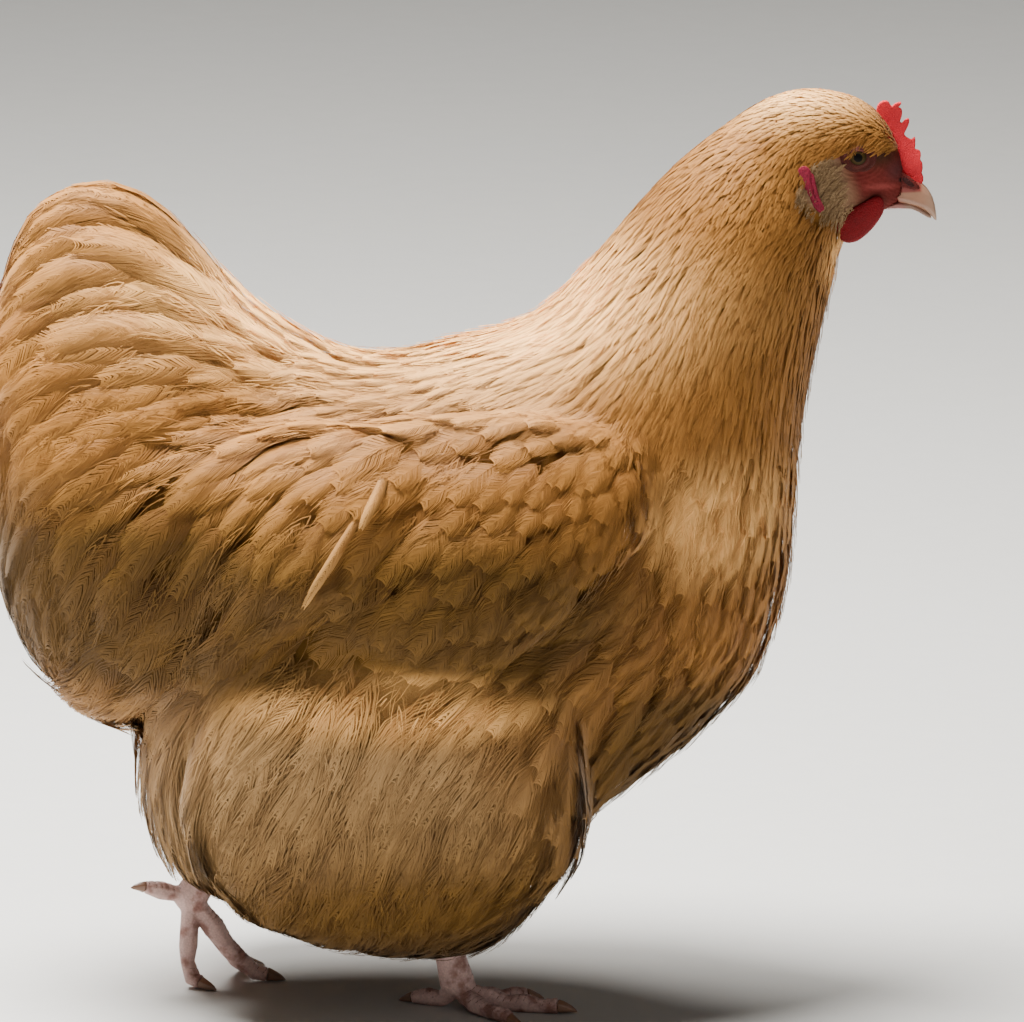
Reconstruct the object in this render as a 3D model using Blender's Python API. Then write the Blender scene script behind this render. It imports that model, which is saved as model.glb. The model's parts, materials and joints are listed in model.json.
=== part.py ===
"""A life-size still model of a buff hen, walking: right foot flat on the floor, left foot pushing off its toes.

Metres, +Z up. The hen looks along +X, its left side is +Y, and the floor is Z = 0. The origin is on the
floor, under the middle of the model's box. Sizes in the tables are millimetres, as a taxidermist notes them.
"""

import math
from collections import namedtuple

import bmesh
import bpy
from mathutils import Vector
from mathutils.bvhtree import BVHTree

MM = 0.001
GAP = 0.0003  # what neighbouring pieces keep between them
SIDES = {"left": 1, "right": -1}

# One cross-section of the body: where its back edge and its belly edge lie in the side view, its half
# width, how far down from the back it is widest (0 to 1), and how full its upper and lower halves are.
Section = namedtuple("Section", "back_x back_z belly_x belly_z half_width widest upper lower")

BODY_SIDES = 24
HEAD_SIDES = 18
TRUNK = [
    Section(-76, 334, -152, 142, 62, 0.55, 2.0, 2.2),
    Section(-67, 328, -148, 98, 86, 0.52, 2.0, 2.2),
    Section(-55, 323, -130, 62, 99, 0.50, 2.0, 2.2),
    Section(-40, 320, -92, 48, 106, 0.46, 2.0, 2.1),
    Section(-22, 321, -34, 48, 109, 0.43, 2.0, 2.0),
    Section(-3, 326, 24, 66, 107, 0.42, 2.0, 2.0),
    Section(14, 330, 72, 98, 101, 0.42, 2.0, 1.9),
    Section(29, 335, 116, 131, 92, 0.44, 2.0, 1.9),
    Section(41, 342, 147, 164, 83, 0.47, 2.0, 2.0),
]
NECK = [
    Section(41, 342, 147, 164, 83, 0.47, 2.0, 2.0),
    Section(52, 351, 160, 205, 74, 0.49, 2.0, 2.0),
    Section(62, 362, 164, 251, 66, 0.50, 2.0, 2.0),
    Section(74, 376, 167, 289, 58, 0.50, 2.0, 2.0),
    Section(90, 395.5, 173, 321, 50, 0.50, 2.0, 2.0),
    Section(109, 415.5, 179, 347, 42, 0.50, 2.0, 2.0),
    Section(131, 434, 184, 367, 34, 0.50, 2.0, 2.0),
]
HEAD = [
    Section(131, 434, 184, 367, 34, 0.50, 2.0, 2.0),
    Section(150, 446, 187, 376, 23.5, 0.48, 2.0, 2.0),
    Section(167, 451, 189, 383, 19, 0.45, 2.0, 2.2),
    Section(184, 449.5, 193, 388, 17.5, 0.45, 2.1, 2.2),
    Section(197, 444.5, 199, 391, 16, 0.46, 2.1, 2.2),
    Section(207, 436, 206, 392, 13, 0.50, 2.0, 2.2),
    Section(213, 424, 211, 393, 9.5, 0.52, 2.0, 2.2),
    Section(216, 413, 214, 395, 6.5, 0.50, 2.0, 2.0),
]
TAIL = [
    Section(-76, 334, -152, 142, 62, 0.55, 2.0, 2.2),
    Section(-100, 350, -166, 142, 74, 0.58, 1.8, 2.1),
    Section(-121, 373, -186, 154, 75, 0.60, 1.7, 2.1),
    Section(-142, 393, -204, 172, 70, 0.60, 1.6, 2.0),
    Section(-165, 403.5, -216, 198, 60, 0.58, 1.6, 2.0),
    Section(-187, 401, -225, 229, 47, 0.55, 1.6, 1.9),
    Section(-204, 388, -231, 264, 32, 0.52, 1.6, 1.9),
    Section(-213, 366, -233, 302, 17, 0.50, 1.6, 1.9),
]
RINGS_PER_STATION = 2
TAIL_RIDGES = 3  # layers of drooping feathers on each side of the tail
TAIL_RIDGE = 0.03  # their height, as a share of the half width


def clear_scene():
    for obj in list(bpy.data.objects):
        bpy.data.objects.remove(obj)


def material(name, colour, roughness):
    made = bpy.data.materials.get(name) or bpy.data.materials.new(name)
    made.use_nodes = True
    shader = made.node_tree.nodes["Principled BSDF"]
    shader.inputs["Base Color"].default_value = (*colour, 1.0)
    shader.inputs["Roughness"].default_value = roughness
    shader.inputs["Metallic"].default_value = 0.0
    return made


def add(name, points, faces, finish):
    """An object from points in millimetres, in triangles that point out, shaded smooth."""
    mesh = bpy.data.meshes.new(name)
    mesh.from_pydata([Vector(p) * MM for p in points], [], faces)
    shape = bmesh.new()
    shape.from_mesh(mesh)
    bmesh.ops.recalc_face_normals(shape, faces=shape.faces)
    bmesh.ops.triangulate(shape, faces=shape.faces)
    if shape.calc_volume(signed=True) < 0:
        bmesh.ops.reverse_faces(shape, faces=shape.faces)
    shape.to_mesh(mesh)
    shape.free()
    mesh.shade_smooth()
    mesh.materials.append(finish)
    obj = bpy.data.objects.new(name, mesh)
    bpy.context.collection.objects.link(obj)
    return obj


def through(rows, steps):
    """The rows, with smooth rows (Catmull-Rom) between each two."""
    made = []
    for i in range(len(rows) - 1):
        before, a, b, after = rows[max(i - 1, 0)], rows[i], rows[i + 1], rows[min(i + 2, len(rows) - 1)]
        for k in range(steps):
            t = k / steps
            made.append(
                [
                    0.5 * (2 * q + (r - p) * t + (2 * p - 5 * q + 4 * r - s) * t**2 + (3 * q - p - 3 * r + s) * t**3)
                    for p, q, r, s in zip(before, a, b, after)
                ]
            )
    made.append([float(x) for x in rows[-1]])
    return made


def rounded(value, fullness):
    return math.copysign(abs(value) ** (2 / fullness), value)


def section_ring(row, count, ridge=0.0, ridges=0):
    """The points of one cross-section, which stands in the plane of its back edge, belly edge and Y."""
    s = Section(*row)
    back, belly = Vector((s.back_x, 0, s.back_z)), Vector((s.belly_x, 0, s.belly_z))
    up = (back - belly).normalized()
    height = (back - belly).length
    middle = back.lerp(belly, s.widest)
    points = []
    for k in range(count):
        angle = 2 * math.pi * k / count
        side, rise = math.cos(angle), math.sin(angle)
        reach = height * (s.widest if rise > 0 else 1 - s.widest)
        fullness = s.upper if rise > 0 else s.lower
        out = s.half_width * rounded(side, fullness)
        out *= 1 + ridge * math.cos(ridges * math.asin(rise))
        points.append(middle + up * (reach * rounded(rise, fullness)) + Vector((0, out, 0)))
    return points


def ring_normal(ring):
    quarter = len(ring) // 4
    return (ring[0] - ring[2 * quarter]).cross(ring[quarter] - ring[3 * quarter]).normalized()


def shifted(ring, along, distance_mm):
    return [p + along * distance_mm for p in ring]


def loft(name, rings, finish):
    """A closed solid through rings of equal length, with flat ends."""
    count = len(rings[0])
    points = [p for ring in rings for p in ring]
    faces = []
    for i in range(len(rings) - 1):
        for k in range(count):
            n = (k + 1) % count
            faces.append((i * count + k, i * count + n, (i + 1) * count + n, (i + 1) * count + k))
    last = (len(rings) - 1) * count
    faces.append(tuple(range(count))[::-1])
    faces.append(tuple(range(last, last + count)))
    return add(name, points, faces, finish)


def body_part(name, sections, count, finish, ridge=0.0, ridges=0):
    """A stretch of the body; its first and last faces stand half a gap back from the neighbour's."""
    rows = through(sections, RINGS_PER_STATION)
    rings = []
    for i, row in enumerate(rows):
        grown = ridge * min(1.0, i / len(rows) * 2)
        rings.append(section_ring(row, count, grown, ridges))
    half_gap = GAP / MM / 2
    for at, inward in ((0, 1), (-1, -2)):
        normal = ring_normal(rings[at])
        towards = sum((b - a for a, b in zip(rings[at], rings[inward])), Vector())
        rings[at] = shifted(rings[at], normal * math.copysign(1, normal.dot(towards)), half_gap)
    return loft(name, rings, finish)


def hidden_copy(obj, name):
    copy = bpy.data.objects.new(name, obj.data.copy())
    bpy.context.collection.objects.link(copy)
    copy.hide_render = True
    copy.display_type = "WIRE"
    return copy


def swollen(obj, by):
    """A hidden copy of a piece, grown by a clearance, to carve its neighbours with."""
    copy = hidden_copy(obj, obj.name + "_cutter")
    shape = bmesh.new()
    shape.from_mesh(copy.data)
    shape.normal_update()
    for vertex in shape.verts:
        vertex.co += vertex.normal * vertex.calc_shell_factor() * by
    shape.to_mesh(copy.data)
    shape.free()
    return copy


def settle(obj):
    """Puts the modifiers of a piece into its mesh and keeps its largest body."""
    graph = bpy.context.evaluated_depsgraph_get()
    obj.data = bpy.data.meshes.new_from_object(obj.evaluated_get(graph))
    obj.modifiers.clear()
    shape = bmesh.new()
    shape.from_mesh(obj.data)
    bmesh.ops.remove_doubles(shape, verts=shape.verts, dist=1e-6)
    left, bodies = set(shape.faces), []
    while left:
        body, front = set(), [left.pop()]
        while front:
            face = front.pop()
            body.add(face)
            near = {other for edge in face.edges for other in edge.link_faces} & left
            left -= near
            front.extend(near)
        bodies.append(body)
    largest = max(bodies, key=len)
    bmesh.ops.delete(shape, geom=[f for f in shape.faces if f not in largest], context="FACES")
    shape.to_mesh(obj.data)
    shape.free()
    obj.data.shade_smooth()


def carve(obj, neighbours, by=GAP):
    """Cuts the room of its neighbours, and a gap, out of a piece."""
    cutters = [swollen(other, by) for other in neighbours]
    for cutter in cutters:
        cut = obj.modifiers.new(cutter.name, "BOOLEAN")
        cut.operation = "DIFFERENCE"
        cut.object = cutter
    settle(obj)
    for cutter in cutters:
        bpy.data.objects.remove(cutter)


def mirrored(obj):
    """The same piece on the right side, from the finished one on the left."""
    copy = bpy.data.objects.new(obj.name.replace("left", "right"), obj.data.copy())
    bpy.context.collection.objects.link(copy)
    copy.hide_render = obj.hide_render
    copy.display_type = obj.display_type
    shape = bmesh.new()
    shape.from_mesh(copy.data)
    for vertex in shape.verts:
        vertex.co.y = -vertex.co.y
    bmesh.ops.reverse_faces(shape, faces=shape.faces)
    shape.to_mesh(copy.data)
    shape.free()
    return copy


def merge(obj, others):
    """Joins overlapping pieces into one body."""
    for other in others:
        union = obj.modifiers.new(other.name, "BOOLEAN")
        union.operation = "UNION"
        union.object = other
    settle(obj)
    for other in others:
        bpy.data.objects.remove(other)


# --- draped parts: the folded wings and the saddle feathers that hang over them ---------------------------

# The side view of a draped part: where each upright strip stands, its lower and upper edges, its thickness.
Strip = namedtuple("Strip", "x low high thick")
WING = [
    Strip(94, 262, 274, 4),
    Strip(85, 246, 290, 12),
    Strip(68, 231, 300, 15),
    Strip(42, 207, 304, 17),
    Strip(14, 188, 304, 17),
    Strip(-14, 187, 301, 17),
    Strip(-44, 200, 297, 15),
    Strip(-78, 211, 290, 11),
    Strip(-112, 222, 280, 8),
    Strip(-134, 236, 264, 4),
]
SADDLE = [
    Strip(-22, 277, 296, 5),
    Strip(-34, 256, 298, 10),
    Strip(-52, 226, 298, 13),
    Strip(-76, 204, 298, 15),
    Strip(-102, 188, 297, 15),
    Strip(-128, 175, 290, 13),
    Strip(-150, 170, 272, 10),
    Strip(-166, 184, 244, 5),
]
DRAPE_ROWS = 6
EDGE = 4.0  # how far the rim of a draped part stands out from what carries it, in millimetres
ROOT = 8.0  # how far a draped part is let into what carries it before it is carved, in millimetres


def flank(trees, x, z):
    """How far left the carrying pieces reach at this place of the side view, and the normal there."""
    found = []
    for tree in trees:
        for aside in (0, 2 * GAP, -2 * GAP):  # past the gap between two pieces
            start = Vector((x, 300, z)) * MM + Vector((aside, 0, 0))
            place, normal, _, _ = tree.ray_cast(start, Vector((0, -1, 0)))
            if place:
                found.append((place.y / MM, normal))
    return max(found, key=lambda hit: hit[0]) if found else (0, Vector((0, 1, 0)))


def soft_normal(trees, x, z):
    """The carrying surface's normal, averaged over a hand's breadth of feathers."""
    total = Vector()
    for dx, dz in ((0, 0), (9, 0), (-9, 0), (0, 9), (0, -9)):
        total += flank(trees, x + dx, z + dz)[1]
    return total.normalized()


def evened(points, row):
    """Lifts the hollows of a grid of points, so that a draped part doesn't show the steps it lies over."""
    for _ in range(3):
        before = list(points)
        for i in range(row, len(points) - row):
            if 0 < i % row < row - 1:
                beside = (before[i - 1] + before[i + 1] + before[i - row] + before[i + row]) / 4
                points[i].y = max(points[i].y, (before[i].y + beside.y) / 2)


def draped(name, strips, body, over, finish):
    """A slab of feathers on the left flank, with a stout rim: it follows the body and passes over other pieces."""
    graph = bpy.context.evaluated_depsgraph_get()
    body = [BVHTree.FromObject(obj, graph) for obj in body]
    over = body + [BVHTree.FromObject(obj, graph) for obj in over]
    outer, inner = [], []
    for x, low, high, thick in strips:
        for k in range(DRAPE_ROWS + 1):
            share = k / DRAPE_ROWS
            z = low + (high - low) * (1 - math.cos(math.pi * share)) / 2
            crown = math.sin(math.pi * share) ** 0.6
            lift = EDGE + max(thick - EDGE, 0) * crown
            outer.append(Vector((x, flank(over, x, z)[0], z)) + soft_normal(body, x, z) * lift)
            inner.append(Vector((x, flank(body, x, z)[0] - ROOT, z)))
    evened(outer, DRAPE_ROWS + 1)
    row, points = DRAPE_ROWS + 1, outer + inner
    shift, faces = len(outer), []
    for i in range(len(strips) - 1):
        for k in range(DRAPE_ROWS):
            a, b = i * row + k, (i + 1) * row + k
            faces.append((a, b, b + 1, a + 1))
            faces.append((shift + a, shift + a + 1, shift + b + 1, shift + b))
        for k in (0, DRAPE_ROWS):
            a, b = i * row + k, (i + 1) * row + k
            faces.append((a, shift + a, shift + b, b))
    for i in (0, len(strips) - 1):
        for k in range(DRAPE_ROWS):
            a = i * row + k
            faces.append((a, a + 1, shift + a + 1, shift + a))
    return add(name, points, faces, finish)


# --- thighs, shanks, feet and claws -----------------------------------------------------------------------

# A level of the feathered thigh: its height, centre, and half sizes along X and Y.
Level = namedtuple("Level", "z x y long wide")
THIGHS = {
    "right": [
        Level(202, -24, 52, 54, 44),
        Level(187, -26, 54, 75, 53),
        Level(177, -28, 56, 85, 60),
        Level(163, -30, 58, 91, 62),
        Level(140, -33, 58, 95, 63),
        Level(112, -34, 58, 97, 62),
        Level(84, -34, 53, 91, 56),
        Level(58, -34, 46, 72, 43),
        Level(40, -24, 35, 47, 28),
        Level(31, -14, 27, 22, 15),
    ],
    "left": [
        Level(202, -32, 52, 54, 44),
        Level(187, -34, 54, 75, 53),
        Level(177, -37, 56, 85, 60),
        Level(163, -40, 58, 91, 62),
        Level(140, -48, 58, 91, 63),
        Level(116, -57, 58, 86, 61),
        Level(92, -66, 53, 72, 51),
        Level(70, -79, 45, 53, 38),
        Level(54, -91, 37, 33, 23),
        Level(46, -98, 32, 16, 12),
    ],
}
THIGH_SIDES = 16
THIGH_FULLNESS = 3.2


def thigh(name, side, finish):
    rings = []
    for z, x, y, long, wide in THIGHS[name.split("_")[1]]:
        ring = []
        for k in range(THIGH_SIDES):
            angle = 2 * math.pi * k / THIGH_SIDES
            forward = rounded(math.cos(angle), THIGH_FULLNESS)
            out = rounded(math.sin(angle), THIGH_FULLNESS)
            ring.append(Vector((x + long * forward, side * y + wide * out, z)))
        rings.append(ring)
    return loft(name, rings, finish)


# Where each leg's joints are: the hock, hidden in the thigh's feathers, and the ball that the toes grow from,
# how far the foot is turned out, and whether it stands flat.
Leg = namedtuple("Leg", "hock ball turn flat")
LEGS = {
    "right": Leg((-20, -26, 96), (1, -21, 13), 12, True),
    "left": Leg((-86, 30, 112), (-129, 25, 44), 4, False),
}
SHANK_RADIUS = 6.2  # side to side
SHANK_DEPTH = 1.16  # front to back, as a share of that
# The toes: their turn from the foot's line (positive towards the midline), length, and radii at root and tip.
Toe = namedtuple("Toe", "turn length root tip")
TOES = {
    "inner": Toe(34, 36, 5.4, 3.7),
    "middle": Toe(0, 50, 5.9, 3.8),
    "outer": Toe(-38, 40, 5.3, 3.6),
    "hind": Toe(166, 24, 5.0, 3.7),
}
# Where the toes of the raised foot meet the floor, and how far they then lie along it.
LANDINGS = {"inner": (-131, 21, 3), "middle": (-100, 31, 3), "outer": (-106, 50, 3)}
BEND = 26
TOE_SIDES = 8
TOE_STEPS = 6
BALL_RADIUS = 7.6
BALL_RINGS = 6
BALL_SIDES = 10
BALL_LONG = 1.15  # its length, as a share of its width
SHANK_STEPS = 8
SHANK_SIDES = 12
SHANK_FLARE = 0.22  # how much wider it is at the hock and at the ball
CLAW_LENGTH = 9.5
HIND_CLAW = 0.8  # the hind claw's length, as a share of that
CLAW_DROOP = 0.26
CLAW_STEPS = 4
CLAW_SIDES = 6
CLAW_SINK = 0.82  # a toe's axis runs this share of its radius above the floor, so that its sole is flat
PAD_SWELL = 0.13


def tube_ring(centre, along, up, radius, deep=1.0, count=TOE_SIDES):
    across = along.cross(up).normalized()
    rise = across.cross(along).normalized()
    ring = []
    for k in range(count):
        angle = 2 * math.pi * (k + 0.5) / count
        ring.append(centre + across * (radius * math.cos(angle)) + rise * (radius * deep * math.sin(angle)))
    return ring


def flattened(ring):
    return [Vector((p.x, p.y, max(p.z, 0.0))) for p in ring]


def tube(name, path, radii, up, finish, deep=1.0, count=TOE_SIDES):
    rings = []
    for i, centre in enumerate(path):
        along = (path[min(i + 1, len(path) - 1)] - path[max(i - 1, 0)]).normalized()
        rings.append(flattened(tube_ring(centre, along, up, radii[i], deep, count)))
    return loft(name, rings, finish)


def toe_heading(leg, toe, side):
    angle = math.radians(side * (leg.turn - toe.turn))
    return Vector((math.cos(angle), math.sin(angle), 0))


def toe_path(leg, key, side):
    """The axis of a toe, from inside the ball to the claw's root, and its radii."""
    toe = TOES[key]
    heading = toe_heading(leg, toe, side)
    ball = Vector(leg.ball)
    path, radii = [], []
    for k in range(TOE_STEPS + 1):
        share = k / TOE_STEPS
        radius = toe.root + (toe.tip - toe.root) * share
        radius *= 1 + PAD_SWELL * math.cos(2 * math.pi * (toe.length / 16) * share)
        floor = radius * CLAW_SINK
        if leg.flat:
            point = ball + heading * (toe.length * share)
            point.z = floor + (ball.z - 1 - floor) * (1 - min(1.0, share * 2.2)) ** 2
        elif key == "hind":
            point = ball + (heading * 0.96 + Vector((0, 0, 0.28))) * (toe.length * share)
        else:
            point = ball + (Vector(LANDINGS[key]) - ball) * min(share / 0.86, 1.0)
            point += heading * (BEND * max(share - 0.7, 0.0))
            point.z = max(point.z, floor)
        path.append(point)
        radii.append(radius)
    return path, radii


def foot(name, side, finish):
    leg = LEGS[name.split("_")[1]]
    toes = []
    for key in TOES:
        path, radii = toe_path(leg, key, side)
        up = Vector((0, 0, 1)) if leg.flat or key == "hind" else Vector((1, 0, 0.6))
        toes.append(tube(name + "_" + key, path, radii, up, finish))
    ball = Vector(leg.ball)
    rings = []
    for k in range(BALL_RINGS):
        angle = math.pi * (k + 0.5) / BALL_RINGS - math.pi / 2
        level, spread = math.sin(angle), math.cos(angle)
        ring = []
        for j in range(BALL_SIDES):
            turn = 2 * math.pi * j / BALL_SIDES
            out = Vector((BALL_LONG * math.cos(turn), math.sin(turn), 0)) * (spread * BALL_RADIUS)
            ring.append(ball + out + Vector((0, 0, level * BALL_RADIUS)))
        rings.append(flattened(ring))
    made = loft(name, rings, finish)
    merge(made, toes)
    return made


def shank(name, side, finish):
    leg = LEGS[name.split("_")[1]]
    hock, ball = Vector(leg.hock), Vector(leg.ball)
    path, radii = [], []
    for k in range(SHANK_STEPS + 1):
        share = k / SHANK_STEPS
        path.append(hock.lerp(ball, share))
        radii.append(SHANK_RADIUS * (1 + SHANK_FLARE * (2 * share - 1) ** 4))
    return tube(name, path, radii, Vector((1, 0, 0.2)), finish, SHANK_DEPTH, SHANK_SIDES)


def claw(name, leg, key, side, finish):
    """A curved cone that goes on from its toe's end."""
    path, radii = toe_path(leg, key, side)
    along = (path[-1] - path[-2]).normalized()
    length = CLAW_LENGTH * (HIND_CLAW if key == "hind" else 1)
    curved, sizes = [], []
    for k in range(CLAW_STEPS + 1):
        share = k / CLAW_STEPS
        droop = Vector((0, 0, -1)) * (CLAW_DROOP * length * share**2)
        curved.append(path[-1] + along * (GAP / MM + length * share) + droop)
        sizes.append(radii[-1] * 0.86 * (1 - share) ** 0.7 + 0.35)
    for point, size in zip(curved, sizes):
        point.z = max(point.z, size * CLAW_SINK)
    rings = []
    for i, centre in enumerate(curved):
        rings.append(flattened(tube_ring(centre, along, Vector((0, 0, 1)), sizes[i], 1.0, CLAW_SIDES)))
    return loft(name, rings, finish)


# --- the head's own parts -----------------------------------------------------------------------------------

EYE = Vector((194, 14.6, 421.8))  # the left one's centre
EYE_RADIUS = 6.0
EYE_RINGS = 8
COMB_FROM, COMB_TO = (219, 409), (190, 446)  # its root on the midline, from the nostrils to the crown
COMB_BULGE = 5.5  # how far the root line bows out over the brow
COMB_POINTS = 6
COMB_HEIGHT = 11.5
COMB_THICK = 2.6
BILL_SIDES = 10


def lens(name, centre, half, finish, lean=0.0, rings=7, count=10, drop=1.0):
    """A flattened egg: half sizes along X, Y and Z, leaning back as it goes down, fuller below by drop."""
    made = []
    for i in range(rings):
        level = -math.cos(math.pi * (i + 0.5) / rings)
        spread = math.sin(math.pi * (i + 0.5) / rings)
        fuller = spread * (1 + 0.25 * drop * -level) / (1 + 0.125 * drop)
        ring = []
        for k in range(count):
            turn = 2 * math.pi * k / count
            ring.append(
                Vector(centre)
                + Vector(
                    (
                        half[0] * fuller * math.cos(turn) + lean * level * half[2],
                        half[1] * fuller * math.sin(turn),
                        half[2] * level,
                    )
                )
            )
        made.append(ring)
    return loft(name, made, finish)


def comb(finish):
    """A thin upright blade along the brow; its free edge is cut into points."""
    start, end = Vector((COMB_FROM[0], 0, COMB_FROM[1])), Vector((COMB_TO[0], 0, COMB_TO[1]))
    chord = end - start
    out = Vector((-chord.z, 0, chord.x)).normalized() * -1
    steps = COMB_POINTS * 4
    slices = []
    for i in range(steps + 1):
        share = i / steps
        root = start + chord * share + out * (COMB_BULGE * math.sin(math.pi * share))
        tooth = abs(math.sin(math.pi * COMB_POINTS * share)) ** 0.8
        arch = math.sin(math.pi * min(1.0, share * 0.9 + 0.1)) ** 0.45
        height = COMB_HEIGHT * arch * (0.5 + 0.5 * tooth) + 0.6
        fan = (out + chord.normalized() * (0.55 * share)).normalized()
        inner, outer = root - fan * 4, root + fan * height
        thick = COMB_THICK / 2
        edge = thick * 0.35
        slices.append(
            [
                inner + Vector((0, thick, 0)),
                root.lerp(outer, 0.35) + Vector((0, thick, 0)),
                outer + Vector((0, edge, 0)),
                outer - Vector((0, edge, 0)),
                root.lerp(outer, 0.35) - Vector((0, thick, 0)),
                inner - Vector((0, thick, 0)),
            ]
        )
    return loft("comb", slices, finish)


def bill(name, rows, finish):
    """One half of the bill, from rows of x, middle z, half width, and height above and below that middle."""
    rings = []
    for x, z, wide, above, below in through(rows, 2):
        ring = []
        for k in range(BILL_SIDES):
            angle = 2 * math.pi * k / BILL_SIDES
            rise = math.sin(angle)
            ring.append(Vector((x, wide * math.cos(angle), z + rise * (above if rise > 0 else below))))
        rings.append(ring)
    return loft(name, rings, finish)


UPPER_BILL = [
    (200, 400.5, 8.0, 6.0, 3.5),
    (208, 400.0, 7.8, 7.0, 3.6),
    (214, 399.2, 7.0, 7.8, 3.4),
    (219, 398.0, 6.0, 9.0, 3.2),
    (223, 396.6, 5.0, 9.6, 3.1),
    (226, 395.2, 4.2, 9.2, 3.0),
    (228.5, 393.6, 3.3, 7.8, 3.2),
    (230.4, 391.6, 2.4, 5.8, 3.2),
    (231.5, 389.6, 1.5, 3.2, 2.6),
    (232, 387.9, 0.6, 1.2, 1.3),
]
LOWER_BILL = [
    (200, 395.8, 7.0, 2.6, 3.0),
    (208, 395.0, 6.4, 2.4, 3.2),
    (214, 394.2, 5.4, 2.2, 2.8),
    (219, 393.2, 4.2, 2.0, 2.2),
    (223, 391.9, 2.8, 1.8, 1.6),
    (225.5, 390.9, 1.5, 1.2, 1.0),
    (226.8, 390.4, 0.6, 0.5, 0.5),
]


Dent = namedtuple("Dent", "centre radius depth")
LORE = Dent((204, 17, 406), 9, 3.0)  # between the eye and the nostril
SOCKET = Dent((196, 20, 422), 8, 1.6)

# A flattened egg of red skin: its centre on the left side, half sizes along X, Y and Z, and its lean.
Fold = namedtuple("Fold", "centre half lean")
WATTLE = Fold((197, 7.5, 388), (10.5, 2.2, 9.4), 0.45)
EARLOBE = Fold((171.5, 22.5, 404), (3.6, 3.4, 10.5), -0.3)


def press(obj, dent):
    """Presses a soft hollow into both sides of the head."""
    x, y, z = dent.centre
    for vertex in obj.data.vertices:
        for side in SIDES.values():
            place = Vector((x, side * y, z)) * MM
            near = math.exp(-((vertex.co - place).length / (dent.radius * MM)) ** 2)
            vertex.co.y -= side * dent.depth * MM * near


def main():
    clear_scene()
    plumage = material("plumage", (0.52, 0.30, 0.13), 0.75)
    hackle = material("hackle", (0.60, 0.35, 0.15), 0.7)
    down = material("down", (0.42, 0.27, 0.14), 0.85)
    red = material("red_skin", (0.42, 0.04, 0.04), 0.5)
    horn = material("horn", (0.66, 0.44, 0.36), 0.4)
    scaly = material("scaly_skin", (0.42, 0.27, 0.24), 0.55)
    glassy = material("eye", (0.16, 0.08, 0.02), 0.1)

    trunk = body_part("trunk", TRUNK, BODY_SIDES, plumage)
    neck = body_part("neck", NECK, BODY_SIDES, hackle)
    tail = body_part("tail", TAIL, BODY_SIDES, plumage, TAIL_RIDGE, 2 * TAIL_RIDGES)
    head = body_part("head", HEAD, HEAD_SIDES, hackle)
    press(head, LORE)
    press(head, SOCKET)

    wing = draped("wing_left", WING, [trunk, tail, neck], [], plumage)
    saddle = draped("saddle_left", SADDLE, [trunk, tail, neck], [wing], plumage)
    rooted = {"left": [hidden_copy(wing, "rooted_left"), hidden_copy(saddle, "rooted_saddle_left")]}
    rooted["right"] = [mirrored(slab) for slab in rooted["left"]]
    carve(saddle, [trunk, tail, wing])
    carve(wing, [trunk, tail, neck])
    mirrored(wing)
    mirrored(saddle)
    for side_name, side in SIDES.items():
        leg_thigh = thigh("thigh_" + side_name, side, down)
        carve(leg_thigh, [trunk] + rooted[side_name])
        leg_foot = foot("foot_" + side_name, side, scaly)
        leg_shank = shank("shank_" + side_name, side, scaly)
        carve(leg_shank, [leg_thigh, leg_foot, trunk])
        for key in TOES:
            claw("claw_" + key + "_" + side_name, LEGS[side_name], key, side, horn)
        for slab in rooted[side_name]:
            bpy.data.objects.remove(slab)

    eye = lens("eye_left", EYE, (EYE_RADIUS,) * 3, glassy, rings=EYE_RINGS, drop=0.0)
    carve(head, [eye, mirrored(eye)])
    upper = bill("bill_upper", UPPER_BILL, horn)
    carve(upper, [head])
    lower = bill("bill_lower", LOWER_BILL, horn)
    carve(lower, [upper, head])
    blade = comb(red)
    carve(blade, [head, upper])
    wattle = lens("wattle_left", WATTLE.centre, WATTLE.half, red, WATTLE.lean)
    carve(wattle, [head, lower, upper])
    mirrored(wattle)
    lobe = lens("earlobe_left", EARLOBE.centre, EARLOBE.half, red, EARLOBE.lean)
    carve(lobe, [head])
    mirrored(lobe)


main()
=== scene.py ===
"""Dresses the solids of a buff hen as a life-size museum model: skin, feathers, head, feet, floor and light.

Metres, +Z up. The hen looks along +X, its left side is +Y, and the floor is Z = 0. Tables hold millimetres.
"""

import json
import math
from collections import namedtuple

import bpy
import numpy as np
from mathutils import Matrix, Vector
from mathutils.bvhtree import BVHTree

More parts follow.
